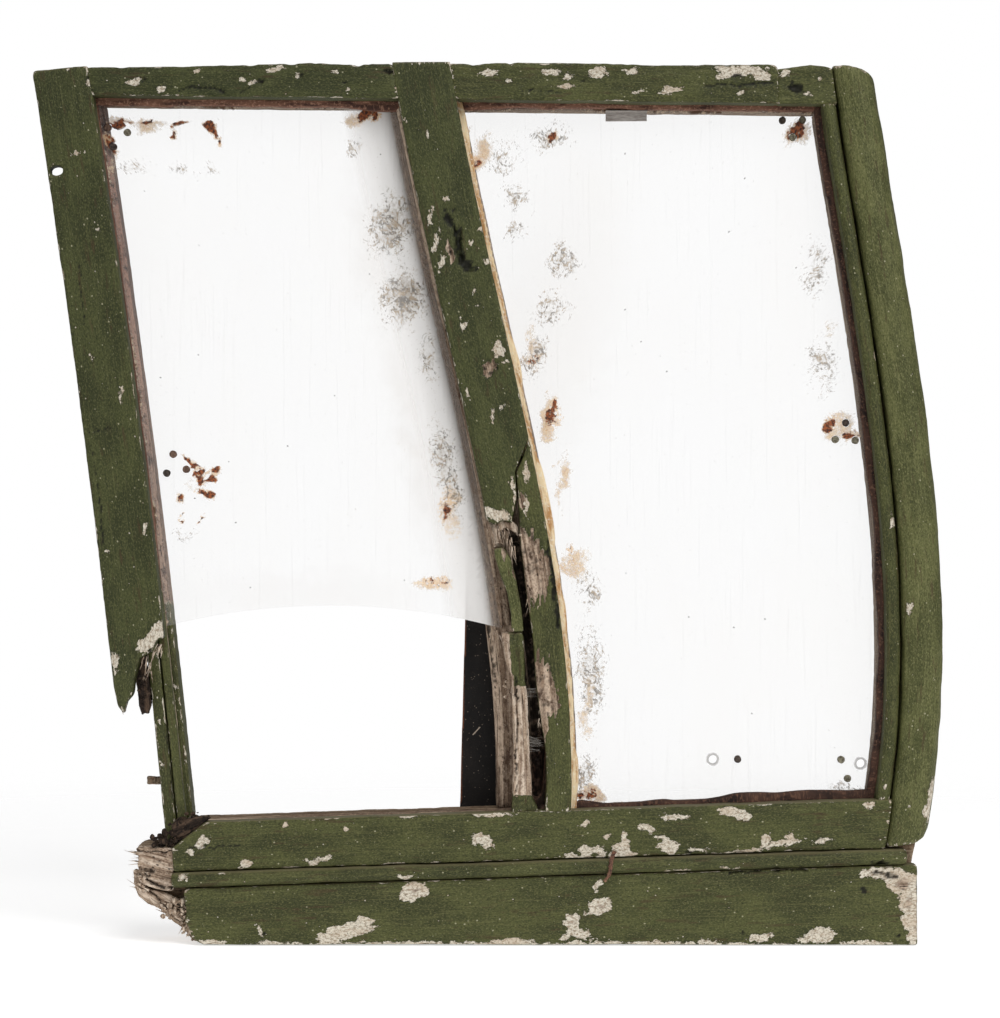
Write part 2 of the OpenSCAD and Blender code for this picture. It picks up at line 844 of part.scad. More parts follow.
module right_stile_bedding() {
    color(seal)
    plate(strip(right_shoulder, right_rebate, foot_rebate, head_rebate), y_core, y_glass);
}

module right_foot_bedding() {
    color(seal)
    plate(
        strip(shift(mullion_right, 4.1), shift(right_shoulder, -0.1), foot_rebate, raise(rail_top, 1.5)),
        y_core, y_glass
    );
}

module setting_blocks() {
    color("dimgray")
    for (x = [at(mullion_right, 80) + 25, at(right_inner, 80) - 65]) {
        plate(
            [
                [x, level(foot_rebate, x)], [x + 40, level(foot_rebate, x + 40)],
                [x + 40, level(pane_foot, x + 40)], [x, level(pane_foot, x)]
            ],
            y_glass, y_shoulder
        );
    }
}

// A tab of tape on the right pane, turned back under the head
module repair_tape() {
    x0 = at(mullion_right, head[0]) + 90;
    x1 = x0 + 25;
    top = level(head_bed, x1) - 0.1;
    thick = 0.5;
    color("lightgray")
    union() {
        plate([[x0, top - 5.8], [x1, top - 5.6], [x1, top], [x0, top]], y_glass - thick, y_glass);
        plate([[x0, top - thick], [x1, top - thick], [x1, top], [x0, top]], y_core + 1, y_glass - thick);
    }
}

// ---- fixings and the strap on the back ----

module rear_screws() {
    color(steel)
    for (spot = all_screws) screw(spot, y_back, screw_length, 0);
}

module stile_nail_shape(gap = 0) {
    reach = 9.7;
    depth = 8;
    x0 = at(left_core, stile_nail_spot[1]);
    translate([x0 - reach, stile_nail_spot[0], stile_nail_spot[1]])
        rotate([0, 90, 0])
            cylinder(h = reach + depth + gap, d = stile_nail_d + gap);
}

module stile_nail() {
    color(steel) stile_nail_shape();
}

// Nail driven into the face rail, with its shank hammered over the bead
module sill_nail_shape(gap = 0) {
    y = y_crest - sill_nail_d / 2;
    reach = 18;
    lean = 20;
    rod(sill_nail_d + gap, y, y_face + 6 + gap, sill_nail_spot);
    translate([sill_nail_spot[0], y, sill_nail_spot[1]]) {
        sphere(d = sill_nail_d + gap);
        rotate([0, 180 + lean, 0]) cylinder(h = reach, d = sill_nail_d + gap);
    }
}

module sill_nail() {
    color(steel) sill_nail_shape();
}

module backing_strap() {
    half = strap_width / 2;
    low = 12;
    color("black")
    difference() {
        plate(
            [
                [strap_middle(low) - half, low], [strap_middle(low) + half, low],
                [strap_middle(strap_top) + half, strap_top], [strap_middle(strap_top) - half, strap_top]
            ],
            y_back, y_strap
        );
        strap_holes();
    }
}

module strap_screws() {
    color(steel)
    for (spot = strap_screw_spots) screw(spot, y_strap, strap_screw_length, 0);
}

core_left_stile();
core_mullion();
core_right_stile();
core_top_rail();
core_bottom_rail();
joint_pegs();
left_face_board();
left_packing_fillet();
left_stile_bead();
top_face_rail_left();
top_face_rail_right();
top_right_corner_block();
mullion_face_board();
mullion_torn_wood();
mullion_right_strip();
mullion_loose_splinter();
mullion_foot_strip();
right_inner_bead();
right_outer_moulding();
bottom_face_rail();
sill_bead();
sill_board();
rail_end_stub();
rail_end_splinter();
corner_rot();
left_pane();
right_pane();
left_head_bedding();
left_mullion_bedding();
left_foot_bedding();
right_mullion_bedding();
right_head_bedding();
right_stile_bedding();
right_foot_bedding();
setting_blocks();
repair_tape();
rear_screws();
stile_nail();
sill_nail();
backing_strap();
strap_screws();
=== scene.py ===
"""Visual model of a weathered two-light timber side window from a vehicle with curved body sides.

Each timber piece starts as a copy of its own solid. It gets a fine skin, is worn by noise that follows its
grain, and then takes its own flakes, splits and pits, which are placed one by one. Lengths are in millimetres
until a mesh is written back in metres.
"""

import itertools
import logging
import math
from collections.abc import Sequence
from dataclasses import dataclass, replace
from enum import Enum

import bpy
import numpy as np
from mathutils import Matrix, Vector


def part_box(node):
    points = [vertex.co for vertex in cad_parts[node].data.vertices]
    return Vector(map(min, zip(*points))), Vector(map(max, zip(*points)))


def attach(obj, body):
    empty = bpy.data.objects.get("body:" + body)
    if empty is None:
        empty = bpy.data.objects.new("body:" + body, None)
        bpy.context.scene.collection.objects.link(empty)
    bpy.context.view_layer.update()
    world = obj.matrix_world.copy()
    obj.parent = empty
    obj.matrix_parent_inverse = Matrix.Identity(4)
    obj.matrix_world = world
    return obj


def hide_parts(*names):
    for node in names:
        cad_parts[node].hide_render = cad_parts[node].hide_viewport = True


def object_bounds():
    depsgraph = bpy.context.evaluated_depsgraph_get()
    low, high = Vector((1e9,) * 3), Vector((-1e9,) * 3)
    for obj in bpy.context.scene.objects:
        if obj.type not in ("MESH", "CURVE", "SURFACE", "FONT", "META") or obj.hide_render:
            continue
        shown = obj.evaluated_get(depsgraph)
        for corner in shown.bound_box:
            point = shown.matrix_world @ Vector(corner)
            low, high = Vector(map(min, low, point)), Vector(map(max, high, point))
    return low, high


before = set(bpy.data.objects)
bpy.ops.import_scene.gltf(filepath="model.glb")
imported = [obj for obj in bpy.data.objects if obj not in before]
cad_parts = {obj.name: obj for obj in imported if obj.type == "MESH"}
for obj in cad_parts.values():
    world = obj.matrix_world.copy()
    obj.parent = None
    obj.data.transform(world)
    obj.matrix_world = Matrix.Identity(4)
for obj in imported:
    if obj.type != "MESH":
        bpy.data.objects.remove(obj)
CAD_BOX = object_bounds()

LOG = logging.getLogger("side_window")
MM = 0.001
FRAME_HEIGHT = 530.0
CORNERS = np.array(list(itertools.product((0, 1), repeat=3)))
MIX_PRIMES = (73856093, 19349663, 83492791)
MIX_ROUNDS = ((15, 2246822519), (13, 3266489917))
WORD = 2**32 - 1
FAR_OUTSIDE = -9.0
GRAIN_STEP = 137.0
HEAD_REVEAL = 3.0

Socket = bpy.types.NodeSocket
Value = float | Socket
Colour = tuple[float, float, float, float]


# ---------------------------------------------------------------- noise and guide lines


def cell_values(cells: np.ndarray, seed: int) -> np.ndarray:
    """Gives every lattice cell a fixed random value.

    Args:
        cells: Whole-number cell positions, one row each.
        seed: Number that tells one pattern from another.

    Returns:
        One value from 0 to 1 for each row.
    """
    c = cells.astype(np.int64).astype(np.uint32)
    mixed = np.uint32(seed * 40503 & WORD)
    for axis, prime in enumerate(MIX_PRIMES):
        mixed = mixed ^ c[:, axis] * np.uint32(prime)
    for shift, factor in MIX_ROUNDS:
        mixed ^= mixed >> np.uint32(shift)
        mixed *= np.uint32(factor)
    mixed ^= mixed >> np.uint32(16)
    return mixed / float(WORD)


def noise(points: np.ndarray, cell: Sequence[float], seed: int, octaves: int = 1) -> np.ndarray:
    """Smooth lattice noise.

    Args:
        points: Places to read it at, in millimetres.
        cell: Size of a lump along each axis, in millimetres.
        seed: Number that tells one pattern from another.
        octaves: How many times finer detail is added.

    Returns:
        One value from -1 to 1 for each point.
    """
    total = np.zeros(len(points))
    weight, reach = 1.0, 0.0
    for octave in range(octaves):
        scaled = points / (np.array(cell, float) * 0.5**octave)
        base = np.floor(scaled)
        inside = scaled - base
        inside = inside * inside * (3 - 2 * inside)
        value = np.zeros(len(points))
        for corner in CORNERS:
            share = np.prod(np.where(corner == 1, inside, 1 - inside), axis=1)
            value += share * cell_values(base + corner, seed + 31 * octave)
        total += weight * (2 * value - 1)
        reach += weight
        weight *= 0.5
    return total / reach


def shove(points: np.ndarray, cell: Sequence[float], seed: int, octaves: int = 2) -> np.ndarray:
    """Three patterns of noise at once, as a push along each axis."""
    return np.stack([noise(points, cell, seed + axis, octaves) for axis in range(3)], axis=1)


def ease(value: np.ndarray, low: float, high: float) -> np.ndarray:
    """Goes smoothly from 0 at low to 1 at high."""
    t = np.clip((value - low) / (high - low), 0, 1)
    return t * t * (3 - 2 * t)


@dataclass(frozen=True)
class Upright:
    """The curved edge of a pillar: its distance from the centre line at any height."""

    foot: float
    lean: float
    bow: float
    skew: float

    def at(self, z: np.ndarray | float) -> np.ndarray | float:
        """Distance of the edge from the centre line at height z."""
        t = z / FRAME_HEIGHT
        return self.foot + self.lean * t + 4 * t * (1 - t) * (self.bow + self.skew * (1 - 2 * t))

    def beside(self, distance: float) -> "Upright":
        """The same curve, moved sideways."""
        return replace(self, foot=self.foot + distance)

    def grain(self, points: np.ndarray) -> np.ndarray:
        """Places along, across and into the timber."""
        return np.stack([points[:, 2], points[:, 0] - self.at(points[:, 2]), points[:, 1]], axis=1)


@dataclass(frozen=True)
class Level:
    """The line of a rail: its height at any place across the frame."""

    height: float
    rise: float

    def at(self, x: np.ndarray | float) -> np.ndarray | float:
        """Height of the line at x."""
        return self.height + self.rise * x

    def grain(self, points: np.ndarray) -> np.ndarray:
        """Places along, across and into the timber."""
        return np.stack([points[:, 0], points[:, 2] - self.at(points[:, 0]), points[:, 1]], axis=1)


LEFT_EDGE = Upright(-210.0, -64.8, 4.5, 0.0)
LEFT_INNER = LEFT_EDGE.beside(34.0)
MULLION_LEFT = Upright(5.3, -63.7, 23.2, 18.0)
MULLION_RIGHT = MULLION_LEFT.beside(35.5)
RIGHT_GROOVE = Upright(223.0, -17.6, 29.8, 15.3)
RIGHT_INNER = RIGHT_GROOVE.beside(-9.2)
SILL_TOP = Level(40.2, 0.033)
RAIL_FOOT = Level(49.8, 0.033)
RAIL_TOP = Level(79.4, 0.033)
HEAD = Level(507.0, -0.012)


# ---------------------------------------------------------------- marks left by age


@dataclass(frozen=True)
class Flake:
    """A place where the paint has come off: its middle, half sizes and turn in degrees."""

    x: float
    z: float
    across: float
    height: float
    turn: float = 0.0

    def inside(self, points: np.ndarray) -> np.ndarray:
        """How far each point is inside the flake, in millimetres; negative outside."""
        angle = math.radians(self.turn)
        dx, dz = points[:, 0] - self.x, points[:, 2] - self.z
        u = (dx * math.cos(angle) + dz * math.sin(angle)) / self.across
        v = (dz * math.cos(angle) - dx * math.sin(angle)) / self.height
        return (1 - np.hypot(u, v)) * min(self.across, self.height)


@dataclass(frozen=True)
class Torn(Flake):
    """A place where the paint and the face of the wood under it have gone."""


@dataclass(frozen=True)
class Pit(Flake):
    """A knot, worm hole or rotted hollow, with its depth."""

    depth: float = 2.0


@dataclass(frozen=True)
class Split:
    """A crack along a line of (x, z) points."""

    points: tuple[tuple[float, float], ...]
    width: float
    depth: float

    def inside(self, points: np.ndarray) -> np.ndarray:
        """How far each point is inside the crack, in millimetres; negative outside."""
        nearest = np.full(len(points), np.inf)
        place = points[:, [0, 2]]
        for start, end in itertools.pairwise(np.array(self.points, float)):
            run = end - start
            share = np.clip((place - start) @ run / (run @ run), 0, 1)
            nearest = np.minimum(nearest, np.linalg.norm(place - start - share[:, None] * run, axis=1))
        return self.width / 2 - nearest


def each(kind: type, *rows: tuple[float, ...]) -> tuple:
    """One mark of the kind for each row of its numbers."""
    return tuple(kind(*row) for row in rows)


CREVICE = Split(((15, 243), (18, 228), (22.5, 200), (25, 170), (27.5, 148), (30.5, 118), (32, 84)), 10.0, 0.0)


# ---------------------------------------------------------------- meshes


def alone(piece: bpy.types.Object) -> None:
    """Selects one object and makes it the active one."""
    bpy.ops.object.select_all(action="DESELECT")
    piece.select_set(True)
    bpy.context.view_layer.objects.active = piece


def copy_of(node: str, name: str) -> bpy.types.Object:
    """Copies a solid as a new piece with its loose triangles merged.

    Args:
        node: Name of the solid.
        name: Name of the new piece.

    Returns:
        The new piece.
    """
    alone(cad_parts[node])
    bpy.ops.object.duplicate()
    piece = bpy.context.view_layer.objects.active
    piece.name = name
    piece.data.name = name
    for key in [own for own in piece.keys() if own.startswith("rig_")]:
        del piece[key]
    piece.data.materials.clear()
    bpy.ops.object.mode_set(mode="EDIT")
    bpy.ops.mesh.select_all(action="SELECT")
    bpy.ops.mesh.remove_doubles(threshold=0.00001)
    bpy.ops.object.mode_set(mode="OBJECT")
    return piece


def finish_with(piece: bpy.types.Object, kind: str, **settings: float | str | bool) -> None:
    """Adds a modifier with these settings and applies it."""
    alone(piece)
    modifier = piece.modifiers.new(kind.title(), kind)
    for name, value in settings.items():
        setattr(modifier, name, value)
    bpy.ops.object.modifier_apply(modifier=modifier.name)


def skinned(piece: bpy.types.Object, voxel: float, rounds: int = 2) -> "Skin":
    """Gives a piece a fine even skin.

    Args:
        piece: The piece.
        voxel: Size of a face of the skin.
        rounds: How many times it is smoothed.

    Returns:
        The skin, ready to be shaped.
    """
    finish_with(piece, "REMESH", mode="VOXEL", voxel_size=voxel * MM, adaptivity=0.0)
    if rounds:
        finish_with(piece, "SMOOTH", factor=0.5, iterations=rounds)
    return Skin(piece)


def settled() -> bpy.types.Object:
    """Moves the place, turn and scale of a new primitive into its mesh."""
    bpy.ops.object.transform_apply(location=True, rotation=True, scale=True)
    return bpy.context.active_object


def coated(piece: bpy.types.Object, finish: bpy.types.Material) -> None:
    """Smooths a piece's shading and gives it its finish."""
    alone(piece)
    bpy.ops.object.shade_smooth()
    piece.data.materials.append(finish)


def hand_over(piece: bpy.types.Object, slot: str, *nodes: str) -> bpy.types.Object:
    """Fixes a finished piece to the frame and hides the solids that it replaces.

    Args:
        piece: The finished piece.
        slot: Material slot of the record; not used.
        nodes: Solids that it replaces.

    Returns:
        The same piece.
    """
    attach(piece, "root")
    if nodes:
        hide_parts(*nodes)
    LOG.info("%s: %d faces", piece.name, len(piece.data.polygons))
    return piece


def joined(name: str, parts: list[bpy.types.Object]) -> bpy.types.Object:
    """Joins small parts into one piece.

    Args:
        name: Name of the new piece.
        parts: The parts, with their places already in their meshes.

    Returns:
        The new piece.
    """
    bpy.ops.object.select_all(action="DESELECT")
    for part in parts:
        part.select_set(True)
    bpy.context.view_layer.objects.active = parts[0]
    bpy.ops.object.join()
    piece = bpy.context.view_layer.objects.active
    piece.name = name
    piece.data.name = name
    return piece


class Skin:
    """The vertices of a piece as arrays, for shaping and for writing values that a finish reads."""

    def __init__(self, piece: bpy.types.Object) -> None:
        """Reads the piece's mesh."""
        self.mesh = piece.data
        count = len(self.mesh.vertices)
        flat = np.empty(count * 3, np.float32)
        self.mesh.vertices.foreach_get("co", flat)
        self.points = flat.reshape(-1, 3).astype(float) / MM
        ends = np.empty(len(self.mesh.edges) * 2, np.int32)
        self.mesh.edges.foreach_get("vertices", ends)
        self.ends = ends.reshape(-1, 2)
        self.ties = np.maximum(np.bincount(ends, minlength=count), 1)
        self.normals = self.read_normals()

    def read_normals(self) -> np.ndarray:
        """Outward direction at each vertex."""
        flat = np.empty(len(self.mesh.vertices) * 3, np.float32)
        self.mesh.vertex_normals.foreach_get("vector", flat)
        return flat.reshape(-1, 3).astype(float)

    def spread(self, values: np.ndarray, rounds: int) -> np.ndarray:
        """Averages values with their neighbours' a number of times."""
        count = len(values)
        first, second = self.ends.T
        for _ in range(rounds):
            total = np.bincount(first, values[second], count) + np.bincount(second, values[first], count)
            values = 0.5 * values + 0.5 * total / self.ties
        return values

    def sharpness(self, rounds: int = 2) -> np.ndarray:
        """How sharply the surface turns outwards, from 0 on a flat face to about 1 on an edge."""
        count = len(self.points)
        first, second = self.ends.T
        middle = np.stack(
            [
                np.bincount(first, axis[second], count) + np.bincount(second, axis[first], count)
                for axis in self.points.T
            ],
            axis=1,
        )
        turn = np.einsum("ij,ij->i", self.points - middle / self.ties[:, None], self.normals)
        return np.clip(self.spread(turn, rounds) * 6, 0, 1)

    def store(self, name: str, *columns: np.ndarray | float) -> None:
        """Writes three columns of numbers as one vector attribute."""
        values = np.stack([np.broadcast_to(c, len(self.points)) for c in columns], axis=1)
        attribute = self.mesh.attributes.new(name, "FLOAT_VECTOR", "POINT")
        attribute.data.foreach_set("vector", values.astype(np.float32).ravel())

    def write(self) -> None:
        """Writes the vertices back, kept inside the box of the whole frame."""
        low, high = (np.array(corner, float) for corner in CAD_BOX)
        placed = np.clip(self.points * MM, low, high)
        self.mesh.vertices.foreach_set("co", placed.astype(np.float32).ravel())
        self.mesh.update()


# ---------------------------------------------------------------- finishes


def tint(red: int, green: int, blue: int) -> Colour:
    """Turns a colour on the usual 0 to 255 scale into the linear one that a shader takes."""
    shares = [channel / 255 for channel in (red, green, blue)]
    return tuple(s / 12.92 if s <= 0.04045 else ((s + 0.055) / 1.055) ** 2.4 for s in shares) + (1.0,)


class Bench:
    """A new material with its shader, and short ways to add nodes to it."""

    def __init__(self, name: str) -> None:
        """Starts the material."""
        self.material = bpy.data.materials.new(name)
        self.material.use_nodes = True
        self.tree = self.material.node_tree
        self.tree.nodes.clear()
        self.shader = self.add("ShaderNodeBsdfPrincipled")
        output = self.add("ShaderNodeOutputMaterial")
        self.tree.links.new(self.shader.outputs[0], output.inputs["Surface"])

    def add(self, kind: str, **settings: str | bool) -> bpy.types.Node:
        """Adds a node with these settings."""
        node = self.tree.nodes.new(kind)
        for name, value in settings.items():
            setattr(node, name, value)
        return node

    def join(self, value: Value | Colour | Sequence[float], socket: Socket) -> None:
        """Links an output to a socket, or sets the socket to a value."""
        if isinstance(value, Socket):
            self.tree.links.new(value, socket)
        else:
            socket.default_value = value

    def set(self, **values: Value | Colour) -> None:
        """Sets or links the shader's own sockets; an underscore stands for a space."""
        for name, value in values.items():
            self.join(value, self.shader.inputs[name.replace("_", " ")])

    def calc(self, operation: str, first: Value, second: Value = 0.0, clamp: bool = False) -> Socket:
        """Adds one sum."""
        node = self.add("ShaderNodeMath", operation=operation, use_clamp=clamp)
        self.join(first, node.inputs[0])
        self.join(second, node.inputs[1])
        return node.outputs[0]

    def times(self, first: Value, second: Value) -> Socket:
        """First times second."""
        return self.calc("MULTIPLY", first, second)

    def plus(self, *values: Value) -> Socket:
        """Sum of the values."""
        total = values[0]
        for value in values[1:]:
            total = self.calc("ADD", total, value)
        return total

    def band(self, value: Socket, low: float, high: float) -> Socket:
        """Goes smoothly from 0 at low to 1 at high, or the other way round."""
        node = self.add("ShaderNodeMapRange", interpolation_type="SMOOTHSTEP")
        flip = low > high
        self.join(value, node.inputs["Value"])
        node.inputs["From Min"].default_value = min(low, high)
        node.inputs["From Max"].default_value = max(low, high)
        node.inputs["To Min"].default_value = 1.0 if flip else 0.0
        node.inputs["To Max"].default_value = 0.0 if flip else 1.0
        return node.outputs["Result"]

    def blend(self, share: Value, first: Colour | Socket, second: Colour | Socket) -> Socket:
        """Mixes two colours."""
        node = self.add("ShaderNodeMix", data_type="RGBA")
        self.join(share, node.inputs[0])
        self.join(first, node.inputs[6])
        self.join(second, node.inputs[7])
        return node.outputs[2]

    def wash(
        self, under: Socket, over: Colour | Socket, value: Socket, low: float, high: float, most: float = 1.0
    ) -> Socket:
        """Lays one colour over another where a value is past low, most of all at high.

        Args:
            under: The colour that is there.
            over: The colour that is laid on it.
            value: What decides where it is laid.
            low: Value at which it starts.
            high: Value at which it is thickest.
            most: Share of it there.

        Returns:
            The mixed colour.
        """
        share = self.band(value, low, high)
        return self.blend(share if most == 1.0 else self.times(share, most), under, over)

    def stretched(self, vector: Socket, by: Sequence[float], moved: Sequence[float] = (0, 0, 0)) -> Socket:
        """A vector scaled and moved along each axis."""
        node = self.add("ShaderNodeVectorMath", operation="MULTIPLY_ADD")
        self.join(vector, node.inputs[0])
        node.inputs[1].default_value = by
        node.inputs[2].default_value = moved
        return node.outputs[0]

    def noise(
        self, vector: Socket, by: Sequence[float], detail: float = 3.0, roughness: float = 0.55,
        distortion: float = 0.0, moved: Sequence[float] = (0, 0, 0),
    ) -> Socket:
        """Noise from 0 to 1.

        Args:
            vector: Place to read it at.
            by: How many lumps there are in a millimetre along each axis.
            detail: How many times finer detail is added.
            roughness: How strong the finer detail is.
            distortion: How far the lumps are twisted.
            moved: Shift that tells one pattern from another.

        Returns:
            The noise.
        """
        node = self.add("ShaderNodeTexNoise")
        self.join(self.stretched(vector, by, moved), node.inputs["Vector"])
        for name, value in (
            ("Scale", 1.0), ("Detail", detail), ("Roughness", roughness), ("Distortion", distortion)
        ):
            node.inputs[name].default_value = value
        return node.outputs[0]

    def cells(
        self, vector: Socket, by: Sequence[float], moved: Sequence[float] = (0, 0, 0), feature: str = "F1"
    ) -> Socket:
        """Distance to the nearest of a scatter of points, or to the border between two of them.

        Args:
            vector: Place to read it at.
            by: How many points there are in a millimetre along each axis.
            moved: Shift that tells one pattern from another.
            feature: Which distance.

        Returns:
            The distance in cells.
        """
        node = self.add("ShaderNodeTexVoronoi", feature=feature)
        self.join(self.stretched(vector, by, moved), node.inputs["Vector"])
        node.inputs["Scale"].default_value = 1.0
        return node.outputs["Distance"]

    def stored(self, name: str) -> tuple[Socket, Socket, Socket, Socket]:
        """A vector attribute, whole and as its three numbers."""
        node = self.add("ShaderNodeAttribute", attribute_name=name)
        parts = self.add("ShaderNodeSeparateXYZ")
        self.join(node.outputs["Vector"], parts.inputs[0])
        return node.outputs["Vector"], *parts.outputs

    def place(self) -> Socket:
        """Place on the object in millimetres."""
        node = self.add("ShaderNodeTexCoord")
        return self.stretched(node.outputs["Object"], (1 / MM, 1 / MM, 1 / MM))

    def bump(self, height: Socket, strength: float = 1.0) -> None:
        """Dents the shader's surface by a height in millimetres."""
        node = self.add("ShaderNodeBump")
        node.inputs["Strength"].default_value = strength
        node.inputs["Distance"].default_value = MM
        self.join(height, node.inputs["Height"])
        self.join(node.outputs[0], self.shader.inputs["Normal"])


@dataclass(frozen=True)
class Finish:
    """A finish, which becomes one material."""

    name: str

    def dress(self, bench: Bench) -> None:
        """Adds the nodes that make its look."""

    def make(self) -> bpy.types.Material:
        """Builds the material."""
        bench = Bench(self.name)
        self.dress(bench)
        return bench.material


@dataclass(frozen=True)
class WoodTones:
    """The colours of bare weathered wood."""

    pale: Colour
    middle: Colour
    dark: Colour

    def lay(self, bench: Bench, grain: Socket) -> tuple[Socket, Socket]:
        """Adds the nodes of the wood.

        Args:
            bench: The material that they go into.
            grain: Place along, across and into the timber.

        Returns:
            The colour, and the height of the surface in millimetres.
        """
        fibres = bench.noise(grain, (0.05, 1.1, 1.1), 5, 0.65, 0.6)
        rings = bench.noise(grain, (0.008, 0.28, 0.28), 2)
        blots = bench.noise(grain, (0.1, 0.16, 0.16), 4, 0.6, moved=(7, 3, 1))
        cracks = bench.band(bench.noise(grain, (0.045, 0.8, 0.8), 3, moved=(3, 9, 4)), 0.62, 0.70)
        holes = bench.band(bench.cells(grain, (0.12, 0.2, 0.2)), 0.13, 0.08)
        colour = bench.blend(bench.band(fibres, 0.34, 0.62), self.dark, self.middle)
        colour = bench.wash(colour, self.pale, bench.plus(rings, bench.times(blots, 0.6)), 0.72, 0.95)
        colour = bench.blend(bench.band(blots, 0.70, 0.52), self.dark, colour)
        crumbly = bench.noise(grain, (0.7, 0.95, 0.95), 4, 0.7, moved=(1, 6, 2))
        colour = bench.wash(colour, self.dark, crumbly, 0.47, 0.33, 0.75)
        colour = bench.wash(colour, self.pale, crumbly, 0.54, 0.68, 0.5)
        hollow = bench.calc("MAXIMUM", cracks, holes)
        # Cracks and worm holes darkened: dirt in them and painted shade.
        colour = bench.blend(bench.times(hollow, 0.8), colour, tint(38, 28, 22))
        heights = (bench.times(fibres, 0.45), bench.times(hollow, -0.5), bench.times(crumbly, 0.35))
        return colour, bench.plus(*heights)


GREY_BROWN = WoodTones(tint(206, 184, 162), tint(146, 124, 104), tint(78, 60, 48))
PALE_TORN = WoodTones(tint(226, 208, 188), tint(180, 158, 136), tint(104, 82, 66))
DARK_ROT = WoodTones(tint(88, 70, 56), tint(50, 38, 30), tint(20, 15, 12))
AGED_BACK = WoodTones(tint(166, 146, 122), tint(128, 106, 84), tint(88, 69, 54))
RED_BROWN = WoodTones(tint(150, 104, 86), tint(98, 60, 48), tint(44, 26, 22))


@dataclass(frozen=True)
class BareWood(Finish):
    """Unpainted wood, darkened with painted shade where it is hollow."""

    tones: WoodTones

    def dress(self, bench: Bench) -> None:
        """Adds the nodes."""
        grain, *_ = bench.stored("grain")
        _, dark, red, paint = bench.stored("tone")
        colour, height = self.tones.lay(bench, grain)
        red_wood, _ = RED_BROWN.lay(bench, grain)
        colour = bench.blend(red, colour, red_wood)
        smear = bench.noise(grain, (0.12, 0.5, 0.5), 4, 0.6, moved=(2, 8, 5))
        smear = bench.band(bench.plus(paint, smear), 0.98, 1.06)
        colour = bench.blend(smear, colour, tint(72, 78, 48))
        # Painted shade: near black inside pits, splits and furrows; on the loose crumbs and fibres it is a
        # random darker tone.
        colour = bench.blend(bench.times(dark, 0.93), colour, tint(16, 12, 9))
        bench.set(Base_Color=colour, Roughness=0.88, Specular_IOR_Level=0.25)
        bench.bump(height, 0.9)


